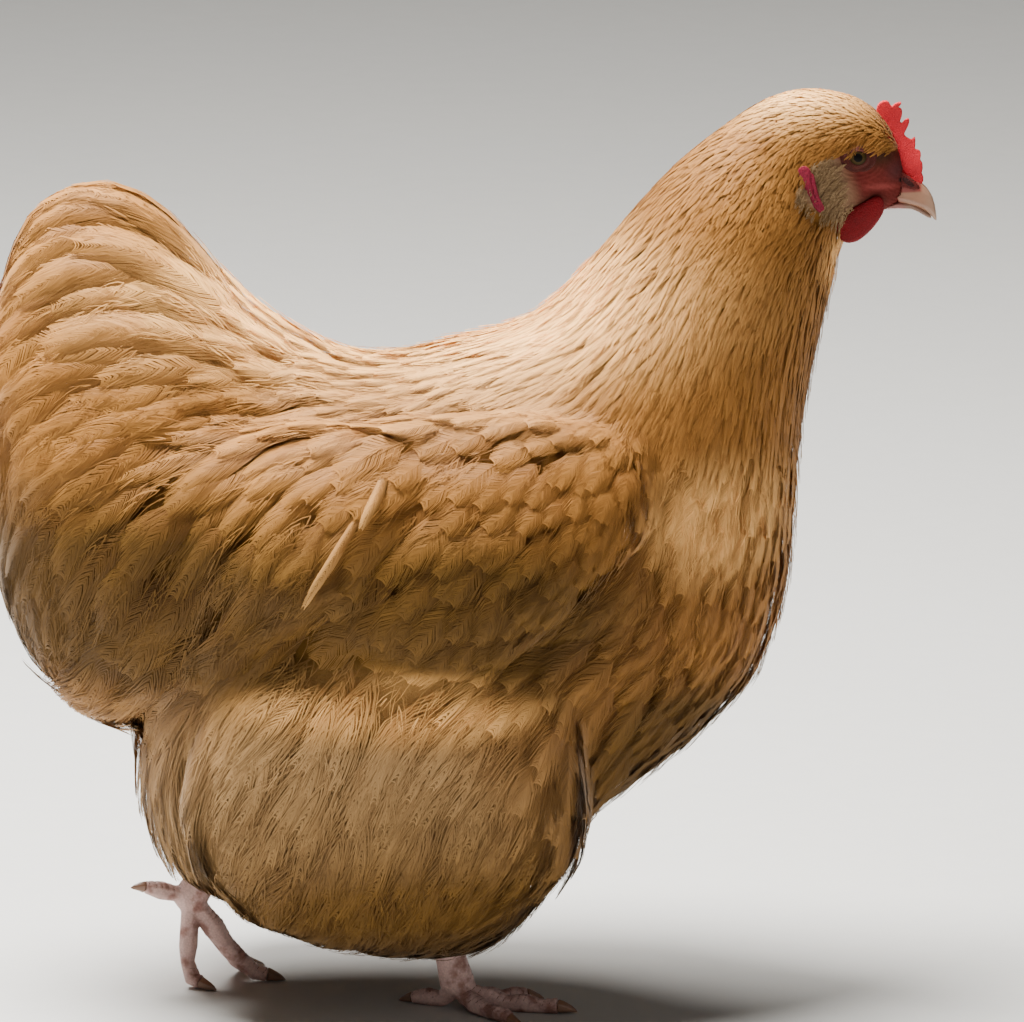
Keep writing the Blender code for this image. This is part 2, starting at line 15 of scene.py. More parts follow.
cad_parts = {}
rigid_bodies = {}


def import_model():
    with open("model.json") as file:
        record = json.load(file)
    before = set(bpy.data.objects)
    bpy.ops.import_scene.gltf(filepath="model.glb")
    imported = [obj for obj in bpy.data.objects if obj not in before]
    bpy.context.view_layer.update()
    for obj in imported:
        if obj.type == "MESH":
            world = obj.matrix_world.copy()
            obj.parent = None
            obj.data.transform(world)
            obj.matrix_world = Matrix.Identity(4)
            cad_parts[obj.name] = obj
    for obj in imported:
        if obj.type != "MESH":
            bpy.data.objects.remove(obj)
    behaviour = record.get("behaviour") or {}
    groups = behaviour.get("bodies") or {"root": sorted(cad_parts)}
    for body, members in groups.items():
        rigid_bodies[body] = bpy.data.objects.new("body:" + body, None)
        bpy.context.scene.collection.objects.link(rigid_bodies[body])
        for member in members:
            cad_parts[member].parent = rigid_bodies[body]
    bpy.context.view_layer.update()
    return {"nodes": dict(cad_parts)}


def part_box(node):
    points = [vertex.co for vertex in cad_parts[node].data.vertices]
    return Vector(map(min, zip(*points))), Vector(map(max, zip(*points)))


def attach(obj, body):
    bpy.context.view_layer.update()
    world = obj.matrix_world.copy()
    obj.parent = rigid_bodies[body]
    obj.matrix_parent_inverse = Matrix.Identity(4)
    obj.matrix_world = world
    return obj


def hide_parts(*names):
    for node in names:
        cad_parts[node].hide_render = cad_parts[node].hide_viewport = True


bl_info = {
    "name": "Buff Hen",
    "version": (1, 0, 0),
    "blender": (4, 5, 0),
    "location": "3D View > Sidebar > Hen",
    "description": "Builds the skin, plumage, head and feet of a life-size buff hen over its solids",
    "category": "Object",
}

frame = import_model()
MM = 0.001
SIDES = {"left": 1, "right": -1}
FLESH = ["trunk", "neck", "head", "tail"]
FLESH += [part + "_" + side for side in SIDES for part in ("wing", "saddle", "thigh")]


# --- what a user may change ---------------------------------------------------------------------------------


def colour(name, text, value):
    return bpy.props.FloatVectorProperty(
        name=name, description=text, subtype="COLOR", size=3, min=0.0, max=1.0, default=value
    )


def number(name, text, value, **limits):
    return bpy.props.FloatProperty(name=name, description=text, default=value, **limits)


def length(name, text, value):
    return number(name, text, value, min=0.0, unit="LENGTH")


class HenPlumage(bpy.types.PropertyGroup):
    buff: colour("Buff", "Ground colour of the feathers", (0.335, 0.144, 0.030))
    golden: colour("Golden", "Richer colour of the hackle and the wings", (0.295, 0.125, 0.025))
    # On the back, the crown and the tail this colour is partly the coat's own paler tone and partly painted
    # light from above.
    pale: colour("Pale", "Paler colour of the back, the crown and the tail", (0.84, 0.45, 0.145))
    # This colour is painted shade: it darkens the coat low on the wings, under the saddle and the cushion,
    # low on the front and along the bottom.
    deep: colour("Deep", "Darkest colour, low on the wings and under the saddle", (0.115, 0.055, 0.008))
    down: colour("Down", "Colour of the fluff on the thighs and belly", (0.40, 0.238, 0.10))
    voxel: length("Skin cell", "Size of the skin's cells", 0.003)
    seed: bpy.props.IntProperty(name="Seed", description="Changes how the feathers are strewn", default=11)
    density: number("Density", "Share of the full number of feathers", 1.0, min=0.05, max=1.0)


class HenHead(bpy.types.PropertyGroup):
    comb: colour("Comb", "Red of the comb", (0.56, 0.020, 0.030))
    wattle: colour("Wattle", "Red of the wattles", (0.17, 0.003, 0.006))
    lobe: colour("Earlobe", "Red of the earlobes", (0.21, 0.012, 0.032))
    # The lids' colour is partly their own and partly painted shade from the overhanging brow, which keeps it
    # darker than the face.
    lid: colour("Lid", "Colour of the lids", (0.07, 0.014, 0.010))
    nostril: colour("Nostril", "Colour of the flaps over the nostrils", (0.05, 0.012, 0.011))
    face: colour("Face", "Red of the bare face", (0.125, 0.018, 0.015))
    horn: colour("Horn", "Colour of the bill and claws", (0.33, 0.165, 0.10))
    iris: colour("Iris", "Colour of the iris", (0.040, 0.024, 0.007))
    opening: length("Eye opening", "Length of the gap between the lids", 0.0088)


class HenLegs(bpy.types.PropertyGroup):
    skin: colour("Leg skin", "Colour of the shanks and toes", (0.64, 0.42, 0.38))
    crease: colour("Crease", "Colour between the scales", (0.16, 0.075, 0.06))
    scute: length("Scute", "Length of one plate along a toe", 0.0031)


class HenStage(bpy.types.PropertyGroup):
    floor: colour("Floor", "Colour of the floor", (0.62, 0.61, 0.58))
    distance: length("Camera distance", "From the camera to the hen", 9.6)
    elevation: number("Elevation", "How high the camera looks from", math.radians(13), unit="ROTATION")
    lens: number("Lens", "Focal length in millimetres", 697.6)
    key: number("Key light", "Power of the light overhead", 158.0, unit="POWER")
    sky: number("Sky", "Strength of the light all round", 0.06)


# --- materials ----------------------------------------------------------------------------------------------


class Number:
    """A number in a material, which Python's own operators do sums with."""

    def __init__(self, finish, socket):
        self.finish, self.socket = finish, socket

    def maths(self, operation, *values):
        made = self.finish.node("ShaderNodeMath", {"operation": operation}, *values)
        return Number(self.finish, made.outputs[0])

    def __add__(self, other):
        return self.maths("ADD", self, other)

    def __radd__(self, other):
        return self.maths("ADD", other, self)

    def __sub__(self, other):
        return self.maths("SUBTRACT", self, other)

    def __rsub__(self, other):
        return self.maths("SUBTRACT", other, self)

    def __mul__(self, other):
        return self.maths("MULTIPLY", self, other)

    def __rmul__(self, other):
        return self.maths("MULTIPLY", other, self)

    def __truediv__(self, other):
        return self.maths("DIVIDE", self, other)

    def __pow__(self, other):
        return self.maths("POWER", abs(self), other)

    def __abs__(self):
        return self.maths("ABSOLUTE", self)

    def clipped(self, low=0.0, high=1.0):
        return self.maths("MINIMUM", self.maths("MAXIMUM", self, low), high)

    def ramp(self, start, end):
        """0 below start and 1 above end, with a soft passage between; it falls where end is the lower."""
        settings = {"interpolation_type": "SMOOTHSTEP"}
        low, high = sorted((start, end))
        made = self.finish.node("ShaderNodeMapRange", settings, self, low, high, 0.0, 1.0)
        rising = Number(self.finish, made.outputs[0])
        return rising if end > start else 1.0 - rising


class Finish:
    """One material and the nodes in it."""

    def __init__(self, name, **fixed):
        self.material = bpy.data.materials.new(name)
        self.material.use_nodes = True
        self.tree = self.material.node_tree
        self.shader = self.tree.nodes["Principled BSDF"]
        for socket, value in fixed.items():
            self.shader.inputs[socket.replace("_", " ")].default_value = value

    def node(self, kind, settings=None, *values, **named):
        """A node of this kind: its settings first, then the values or links of its sockets."""
        made = self.tree.nodes.new(kind)
        for key, value in (settings or {}).items():
            setattr(made, key, value)
        sockets = [(s, v) for s, v in zip(made.inputs, values) if v is not None]
        sockets += [(made.inputs[name.replace("_", " ")], v) for name, v in named.items()]
        for socket, value in sockets:
            self.put(socket, value)
        return made

    def put(self, socket, value):
        if isinstance(value, Number):
            value = value.socket
        if isinstance(value, bpy.types.NodeSocket):
            self.tree.links.new(value, socket)
        elif socket.type == "RGBA" and len(value) == 3:
            socket.default_value = (*value, 1.0)
        else:
            socket.default_value = value

    def set(self, name, value):
        self.put(self.shader.inputs[name], value)

    def place(self):
        return self.node("ShaderNodeTexCoord").outputs["Object"]

    def attribute(self, name):
        """The sockets of a number or a vector that the mesh holds at its points."""
        return self.node("ShaderNodeAttribute", {"attribute_name": name}).outputs

    def parts(self, vector):
        return [Number(self, s) for s in self.node("ShaderNodeSeparateXYZ", None, vector).outputs]

    def vector(self, *values):
        return self.node("ShaderNodeCombineXYZ", None, *values).outputs[0]

    def vector_maths(self, operation, *values):
        return self.node("ShaderNodeVectorMath", {"operation": operation}, *values).outputs

    def near(self, place, centre, radius, flat=(1, 1, 1)):
        """1 at the centre and 0 past the radius, all in millimetres; flat stretches the axes."""
        moved = self.vector_maths("SUBTRACT", place, Vector(centre) * MM)[0]
        scaled = self.vector_maths("MULTIPLY", moved, flat)[0]
        far = self.vector_maths("LENGTH", scaled)["Value"]
        return Number(self, far).ramp(radius * MM, 0.0)

    def mix(self, share, first, second, blend="MIX"):
        made = self.tree.nodes.new("ShaderNodeMix")
        made.data_type, made.blend_type = "RGBA", blend
        for socket, value in ((made.inputs[0], share), (made.inputs[6], first), (made.inputs[7], second)):
            self.put(socket, value)
        return made.outputs[2]

    def scaled(self, shade, share):
        """A colour made darker or lighter by a number."""
        made = self.node("ShaderNodeVectorMath", {"operation": "SCALE"}, shade)
        self.put(made.inputs["Scale"], share)
        return made.outputs[0]

    def noise(self, place, scale, detail=2.0, rough=0.5):
        sockets = {"Vector": place, "Scale": scale, "Detail": detail, "Roughness": rough}
        return Number(self, self.node("ShaderNodeTexNoise", None, **sockets).outputs[0])

    def cells(self, place, scale):
        """Round pebbles: 0 at the middle of each and more toward the edges."""
        made = self.node("ShaderNodeTexVoronoi", None, Vector=place, Scale=scale)
        return Number(self, made.outputs["Distance"])

    def bump(self, height, distance, strength):
        made = self.node("ShaderNodeBump", None, Strength=strength, Distance=distance, Height=height)
        self.set("Normal", made.outputs[0])


# Soft patches of colour on the coat, each over those before it: its centre and radius in millimetres, and how
# much each axis counts toward the radius. Some are the coat's own colour and some are painted light and
# shade.
Patch = namedtuple("Patch", "shade centre radius flat")
MARKINGS_AND_PAINTED_LIGHT = [
    Patch("golden", (60, 0, 330), 150, (1, 0.2, 1)),
    Patch("golden", (30, 0, 245), 150, (1, 0.2, 1.2)),
    Patch("golden", (165, 0, 400), 60, (1, 0.2, 0.8)),
    # Painted light from above on the back, the hips and the tail's top, partly the coat's own paler tone.
    Patch("pale", (-20, 0, 352), 130, (0.6, 0.3, 2.3)),
    # Painted light on the crown, partly the coat's own paler tone.
    Patch("pale", (165, 0, 466), 58, (0.8, 0.5, 1.35)),
    Patch("down", (-60, 0, 105), 150, (0.9, 0.1, 1.15)),
    # Painted shade: low on the wing where it overhangs the fluff, under the saddle and the cushion, and low
    # on the front.
    Patch("deep", (5, 0, 212), 92, (0.62, 0.1, 1.25)),
    Patch("deep", (-150, 0, 213), 120, (0.6, 0.2, 1.35)),
    Patch("deep", (105, 0, 130), 68, (0.8, 0.2, 0.9)),
    # Painted light on the fluff just below the wing, where it bulges up toward the light.
    Patch("pale", (-25, 0, 171), 42, (0.42, 0.1, 1.7)),
    # Painted shade along the bottom of the body.
    Patch("deep", (-10, 0, 5), 156, (0.45, 0.1, 0.85)),
    Patch("pale", (126, 0, 252), 44, (0.8, 0.2, 1)),
    Patch("pale", (187, 0, 366), 16, (1, 0.2, 0.7)),
]


def plumage_colour(finish, place):
    """The coat's colour at a place, the same for the skin and for the feathers over it; some of its patches
    are painted light and shade.
    """
    settings = bpy.context.scene.hen_plumage
    shade = tuple(settings.buff)
    for patch in MARKINGS_AND_PAINTED_LIGHT:
        share = finish.near(place, patch.centre, patch.radius, patch.flat)
        shade = finish.mix((share * PATCH_STRENGTH).clipped(), shade, tuple(getattr(settings, patch.shade)))
    cloudy = finish.noise(place, 28.0, 3.0)
    return finish.scaled(shade, 0.88 + 0.24 * cloudy)


PATCH_STRENGTH = 1.6  # above 1, so that a patch's middle is all of its own colour
SHEEN_TINT = (1.0, 0.80, 0.62, 1.0)
# WARM_SHADE is painted shade at the roots of the darker feathers, where they lie under others.
WARM_SHADE = (0.80, 0.60, 0.40)  # what the roots of the darker feathers are tinted with
BARB_STRETCH = 0.035  # how much longer a streak is along a barb than across it


def feather_finish(name, streak=0.3, sheen=0.12, pale=0.0):
    """A feather's look: the coat's colour, dark at the root as painted shade, pale at the rim partly as
    painted sheen, and streaked along the barbs.
    """
    fixed = {"Sheen_Weight": sheen, "Sheen_Roughness": 0.45, "Sheen_Tint": SHEEN_TINT}
    finish = Finish(name, Roughness=0.6, Specular_IOR_Level=0.15, **fixed)
    place = finish.place()
    barb = finish.node("ShaderNodeUVMap", {"uv_map": "barb"}).outputs[0]
    tint, along, out = finish.parts(finish.attribute("feather")["Vector"])
    x, y, _ = finish.parts(barb)
    strands = finish.vector(x * BARB_STRETCH, y, 0.0)
    fine = finish.noise(strands, 1.5, 1.0, 0.6)
    coarse = finish.noise(strands, 0.42, 1.0)
    # Painted shade toward the root, where each feather lies under others, and a paler tip that is partly the
    # feather's own colour and partly painted sheen.
    light = 0.78 + 0.16 * along.ramp(0.35, 0.75) + 0.14 * along.ramp(0.8, 1.0)
    light = light * (1.0 + streak * (fine - 0.5) + streak * (coarse - 0.5))
    light = light * (1.0 + 0.10 * tint)
    ground = finish.mix(pale, plumage_colour(finish, place), tuple(bpy.context.scene.hen_plumage.pale))
    shade = finish.scaled(ground, light)
    # Warm painted shade at the roots, strongest on the darker feathers.
    painted_root_shade = (0.5 - 0.5 * tint).clipped() * along.ramp(0.95, 0.4) * 0.5
    shade = finish.mix(painted_root_shade, shade, WARM_SHADE, "MULTIPLY")
    # The paler rim is partly the feather's own edge and partly painted sheen; the pale shaft is its own
    # colour.
    rim = 0.20 * out.ramp(0.5, 1.0) * along.ramp(0.5, 0.95)
    shaft = 0.4 * out.ramp(0.0, -0.4)
    shade = finish.mix((rim + shaft).clipped(), shade, finish.scaled(shade, 1.6))
    finish.set("Base Color", shade)
    finish.set("Roughness", 0.52 + 0.2 * fine)
    finish.bump(fine, 0.00012, 0.35)
    return finish.material


# --- shaping helpers ----------------------------------------------------------------------------------------


def only(*objects):
    """Selects these objects and no others, and makes the first one active."""
    bpy.ops.object.select_all(action="DESELECT")
    for obj in objects:
        obj.select_set(True)
    bpy.context.view_layer.objects.active = objects[0]


def copy_of(name, nodes):
    """One loose, merged copy of these solids, under a name of its own."""
    only(*[frame["nodes"][node] for node in nodes])
    bpy.ops.object.duplicate()
    bpy.ops.object.parent_clear(type="CLEAR_KEEP_TRANSFORM")
    bpy.ops.object.join()
    made = bpy.context.view_layer.objects.active
    for key in list(made.keys()):
        del made[key]
    made.name = made.data.name = name
    made.data.materials.clear()
    edited(made, lambda: bpy.ops.mesh.remove_doubles(threshold=1e-6))
    return made


def apply(obj, kind, **settings):
    """Adds a modifier, sets it and applies it."""
    only(obj)
    bpy.ops.object.modifier_add(type=kind)
    modifier = obj.modifiers[-1]
    for key, value in settings.items():
        setattr(modifier, key, value)
    bpy.ops.object.modifier_apply(modifier=modifier.name)


def edited(obj, step):
    """Runs this step on everything in the object's mesh, in edit mode."""
    only(obj)
    bpy.ops.object.mode_set(mode="EDIT")
    bpy.ops.mesh.select_all(action="SELECT")
    step()
    bpy.ops.object.mode_set(mode="OBJECT")


def read(items, key, width=1, kind=np.float32):
    """One value of every item as an array, in rows where the value has more than one number."""
    found = np.empty(len(items) * width, kind)
    items.foreach_get(key, found)
    return found.reshape(-1, width) if width > 1 else found


def write(items, key, values, kind=np.float32):
    items.foreach_set(key, np.asarray(values).astype(kind).ravel())


def places(mesh):
    return read(mesh.vertices, "co", 3).astype(float)


def directions(mesh):
    return read(mesh.vertices, "normal", 3).astype(float)


def move_to(mesh, points):
    write(mesh.vertices, "co", points)
    mesh.update()


def tree_of(mesh):
    corners = [list(polygon.vertices) for polygon in mesh.polygons]
    return BVHTree.FromPolygons([v.co.to_tuple() for v in mesh.vertices], corners)


def unit(vectors):
    return vectors / np.maximum(np.linalg.norm(vectors, axis=-1, keepdims=True), 1e-12)


def smoothstep(values, low, high):
    share = np.clip((values - low) / (high - low), 0, 1)
    return share * share * (3 - 2 * share)


def finished(obj, material, nodes=()):
    """Gives a piece its material and its slot, attaches it to the root and hides the solids it stands for."""
    obj.data.materials.clear()
    obj.data.materials.append(material)
    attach(obj, "root")
    if nodes:
        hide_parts(*nodes)


# --- the form that the feathers grow on ---------------------------------------------------------------------

# How far the skin lies below the tips of the coat, in millimetres.
COAT_DEPTH = {"head": 3.0, "neck": 5.0, "trunk": 6.0, "wing": 6.0, "saddle": 9.0, "tail": 11.0, "thigh": 9.0}
SWELL = 0.6  # how far the coat's form lies outside the flesh's solids
CLOSING = 2.6  # how far the flesh grows and shrinks again, which fills the narrow gaps between its solids
DEPTH_ROUNDS = 40  # how often the coat's depth is evened out, so that it changes softly from part to part
# The bare face in the side view: its centre, how far it reaches along X and Z, and how its lower half leans.
FACE_CENTRE, FACE_REACH, FACE_SHEAR = (197, 406), (31, 19.3), 0.35
FACE_FROM = 0.15  # the face's X is above this, in metres


def face_share(points):
    """Below 1 on the bare face, and more the further from it."""
    up = points[:, 2] / MM - FACE_CENTRE[1]
    x = (points[:, 0] / MM - FACE_CENTRE[0] + FACE_SHEAR * np.minimum(up, 0)) / FACE_REACH[0]
    return x**2 + (up / FACE_REACH[1]) ** 2


# How the coat lies: a place in millimetres, on the left side or the midline, and the way its feathers point.
Lie = namedtuple("Lie", "place way")
LIES = {
    "forehead": Lie((196, 5, 442), (-0.80, 0.15, 0.45)),
    "crown": Lie((165, 0, 450), (-1, 0, -0.05)),
    "brow": Lie((194, 15, 428), (-1, 0.1, -0.5)),
    "ear": Lie((170, 22, 412), (-0.55, 0, -0.85)),
    "cheek": Lie((182, 17, 404), (-0.85, 0, -0.5)),
    "chin": Lie((192, 5, 384), (-0.35, 0, -0.9)),
    "throat": Lie((182, 0, 360), (-0.15, 0, -1)),
    "nape": Lie((125, 0, 428), (-0.75, 0, -0.65)),
    "upper_neck": Lie((145, 28, 405), (-0.50, 0.1, -0.85)),
    "neck_back": Lie((88, 20, 385), (-0.65, 0.1, -0.7)),
    "neck_side": Lie((115, 50, 345), (-0.34, 0.1, -0.93)),
    "neck_front": Lie((165, 20, 300), (-0.10, 0, -1)),
    "neck_base": Lie((100, 70, 280), (-0.36, 0, -0.93)),
    "cape_back": Lie((45, 30, 340), (-0.93, 0.1, -0.35)),
    "cape_side": Lie((55, 75, 312), (-0.70, 0.1, -0.70)),
    "breast": Lie((160, 0, 230), (-0.06, 0, -1)),
    "breast_side": Lie((130, 60, 225), (-0.28, 0.05, -0.95)),
    "low_breast": Lie((120, 30, 150), (-0.55, 0, -0.83)),
    "flank": Lie((75, 95, 200), (-0.83, 0.05, -0.56)),
    "low_flank": Lie((60, 80, 130), (-0.76, 0, -0.65)),
    "belly": Lie((20, 0, 65), (-1, 0, -0.15)),
    "back": Lie((0, 0, 327), (-1, 0, -0.03)),
    "back_side": Lie((0, 60, 315), (-0.92, 0.2, -0.35)),
    "hips": Lie((-60, 30, 324), (-1, 0.1, 0.05)),
    "shoulder": Lie((80, 100, 275), (-0.50, 0, -0.86)),
    "wing_top": Lie((20, 110, 290), (-0.72, 0.1, -0.68)),
    "wing_mid": Lie((15, 120, 245), (-0.60, 0, -0.80)),
    "wing_low": Lie((0, 122, 205), (-0.72, 0, -0.69)),
    "wing_rear": Lie((-60, 112, 230), (-0.62, 0, -0.78)),
    "saddle_top": Lie((-50, 85, 298), (-0.88, 0.15, -0.45)),
    "saddle_mid": Lie((-75, 112, 255), (-0.62, 0, -0.78)),
    "saddle_low": Lie((-100, 105, 210), (-0.50, 0, -0.86)),
    "saddle_tip": Lie((-145, 85, 190), (-0.62, 0, -0.78)),
    "tail_root": Lie((-95, 15, 345), (-0.80, 0, 0.55)),
    "tail_top": Lie((-150, 10, 398), (-0.98, 0, 0.15)),
    "tail_tip": Lie((-200, 10, 392), (-0.85, 0, -0.5)),
    "tail_side": Lie((-130, 60, 355), (-0.97, 0.05, 0.02)),
    "tail_shoulder": Lie((-175, 50, 350), (-0.88, 0, -0.46)),
    "tail_back": Lie((-226, 12, 330), (-0.35, 0, -0.93)),
    "cushion_top": Lie((-120, 72, 310), (-0.90, 0.05, -0.38)),
    "cushion": Lie((-170, 62, 285), (-0.70, 0, -0.70)),
    "cushion_rear": Lie((-210, 35, 260), (-0.38, 0, -0.92)),
    "cushion_low": Lie((-175, 55, 215), (-0.45, 0, -0.88)),
    "cushion_under": Lie((-190, 10, 180), (-0.50, 0, -0.80)),
    "vent": Lie((-150, 0, 120), (-0.25, 0, -1)),
    "thigh_top": Lie((-30, 115, 185), (-0.45, 0.1, -0.88)),
    "thigh_front": Lie((50, 100, 130), (-0.22, 0, -0.97)),
    "thigh_side": Lie((-30, 122, 120), (-0.26, 0, -0.97)),
    "thigh_rear": Lie((-110, 95, 150), (-0.60, 0, -0.80)),
    "thigh_back": Lie((-125, 60, 105), (-0.25, 0, -0.97)),
    "thigh_low": Lie((-30, 90, 60), (-0.12, -0.25, -0.95)),
    "thigh_under": Lie((-30, 50, 32), (-0.60, -0.3, -0.70)),
}


LIE_BLEND = 0.004  # how close to a guide its way is followed alone
MIDLINE = 0.02  # how far from the midline the sideways part of the lie comes in


def lie_at(points, outward):
    """The way the coat lies at these points, along the surface."""
    guides = np.array([g.place for g in LIES.values()]) * MM
    ways = unit(np.array([g.way for g in LIES.values()], float))
    folded = points * [1, 0, 1] + np.abs(points) * [0, 1, 0]
    near = ((folded[:, None, :] - guides[None]) ** 2).sum(-1)
    weights = 1 / (near + LIE_BLEND**2) ** 2
    way = (weights[..., None] * ways[None]).sum(1) / weights.sum(1)[:, None]
    way[:, 1] *= np.sign(points[:, 1] + 1e-9) * np.clip(np.abs(points[:, 1]) / MIDLINE, 0, 1)
    return along_surface(way, outward)


def along_surface(way, outward):
    return unit(way - outward * (way * outward).sum(-1, keepdims=True))


Roots = namedtuple("Roots", "spots normals depth unwrap")  # where the feathers of a piece stand
FORMS = {}  # the coat's form, once the skin is made
TRIES = 4.5  # how many random places are tried for each one that there is room for
NEIGHBOURS = [(i, j, k) for i in (-1, 0, 1) for j in (-1, 0, 1) for k in (-1, 0, 1)]


class Form:
    """The coat's outer form as arrays: its triangles, with their regions, depths and places in the unwrap."""

    def __init__(self, mesh):
        mesh.calc_loop_triangles()
        triangles = mesh.loop_triangles
        self.corners = read(triangles, "vertices", 3, np.int32)
        self.points, self.normals = places(mesh), directions(mesh)
        self.unwrap = read(mesh.uv_layers["OFBake"].data, "uv", 2)[read(triangles, "loops", 3, np.int32)]
        self.tree = BVHTree.FromPolygons(self.points.tolist(), self.corners.tolist())
        self.depth = read(mesh.attributes["depth"].data, "value")
        self.region = read(mesh.attributes["region"].data, "value", 1, np.int32)[self.corners[:, 0]]
        a, b, c = (self.points[self.corners[:, k]] for k in range(3))
        self.area = np.linalg.norm(np.cross(b - a, c - a), axis=1) / 2
        self.centres = (a + b + c) / 3

    def nearest(self, points):
        """The surface's points nearest to these, and the smooth normals there."""
        found = [self.tree.find_nearest(p)[::2] for p in points.tolist()]
        spots = np.array([spot for spot, _ in found])
        corners = self.corners[[triangle for _, triangle in found]]
        far = np.linalg.norm(self.points[corners] - spots[:, None], axis=-1)
        weights = 1 / (far + 1e-5)
        return spots, unit((self.normals[corners] * weights[..., None]).sum(1))

    def strewn(self, chosen, spacing, rng):
        """Random roots on the chosen triangles, none nearer to another than the spacing at its triangle."""
        faces = np.flatnonzero(chosen)
        room = self.area[faces] / spacing[faces] ** 2
        tries = int(room.sum() * TRIES)
        picked = faces[rng.choice(len(faces), tries, p=room / room.sum())]
        shares = rng.dirichlet((1, 1, 1), tries)
        spots = (self.points[self.corners[picked]] * shares[..., None]).sum(1)
        kept = apart(spots, spacing[picked])
        picked, shares, spots = picked[kept], shares[kept], spots[kept]
        corners = self.corners[picked]
        normals = unit((self.normals[corners] * shares[..., None]).sum(1))
        unwrap = (self.unwrap[picked] * shares[..., None]).sum(1)
        return picked, Roots(spots, normals, (self.depth[corners] * shares).sum(1), unwrap)


def apart(spots, gaps):
    """The numbers of the places that are kept, in turn, where none kept before is nearer than the gap."""
    cells = np.floor(spots / gaps.max()).astype(int).tolist()
    taken, kept = {}, []
    for i, ((a, b, c), spot, gap) in enumerate(zip(cells, spots.tolist(), gaps.tolist())):
        others = [other for j, k, m in NEIGHBOURS for other in taken.get((a + j, b + k, c + m), ())]
        if all(sum((p - q) ** 2 for p, q in zip(spot, other)) >= gap**2 for other in others):
            taken.setdefault((a, b, c), []).append(spot)
            kept.append(i)
    return kept


def spread_depth(mesh, depth):
    """Evens a number per vertex out over its neighbours."""
    first, second = read(mesh.edges, "vertices", 2, np.int32).T
    degree = np.bincount(first, minlength=len(depth)) + np.bincount(second, minlength=len(depth))
    for _ in range(DEPTH_ROUNDS):
        total = np.bincount(first, depth[second], len(depth)) + np.bincount(second, depth[first], len(depth))
        depth = 0.5 * depth + 0.5 * total / degree
    return depth


def owners_at(spots):
    """The number in FLESH of the solid nearest to each of these places."""
    points, faces, owners = [], [], []
    for index, name in enumerate(FLESH):
        mesh = frame["nodes"][name].data
        faces += [[len(points) + v for v in p.vertices] for p in mesh.polygons]
        points += [v.co.to_tuple() for v in mesh.vertices]
        owners += [index] * len(mesh.polygons)
    solids = BVHTree.FromPolygons(points, faces)
    return [owners[solids.find_nearest(p)[2]] for p in spots.tolist()]


def coat_form():
    """The flesh nodes' outer form as one soft mesh, with a region and a coat depth at each vertex."""
    form = copy_of("coat_form", FLESH)
    apply(form, "DISPLACE", strength=(SWELL + CLOSING) * MM, mid_level=0.0)
    apply(form, "REMESH", mode="VOXEL", voxel_size=bpy.context.scene.hen_plumage.voxel)
    apply(form, "DISPLACE", strength=-CLOSING * MM, mid_level=0.0)
    apply(form, "SMOOTH", factor=0.5, iterations=4)
    mesh = form.data
    spots = places(mesh)
    region = owners_at(spots)
    depths = [COAT_DEPTH[FLESH[i].split("_")[0]] * MM for i in region]
    depth = spread_depth(mesh, np.array(depths))
    depth *= smoothstep(face_share(spots), 0.8, 1.6)
    write(mesh.attributes.new("depth", "FLOAT", "POINT").data, "value", depth)
    write(mesh.attributes.new("region", "INT", "POINT").data, "value", region, np.int32)
    edited(form, lambda: bpy.ops.uv.smart_project(angle_limit=math.radians(66), island_margin=0.002))
    mesh.uv_layers[0].name = "OFBake"
    return form


# --- feathers -----------------------------------------------------------------------------------------------

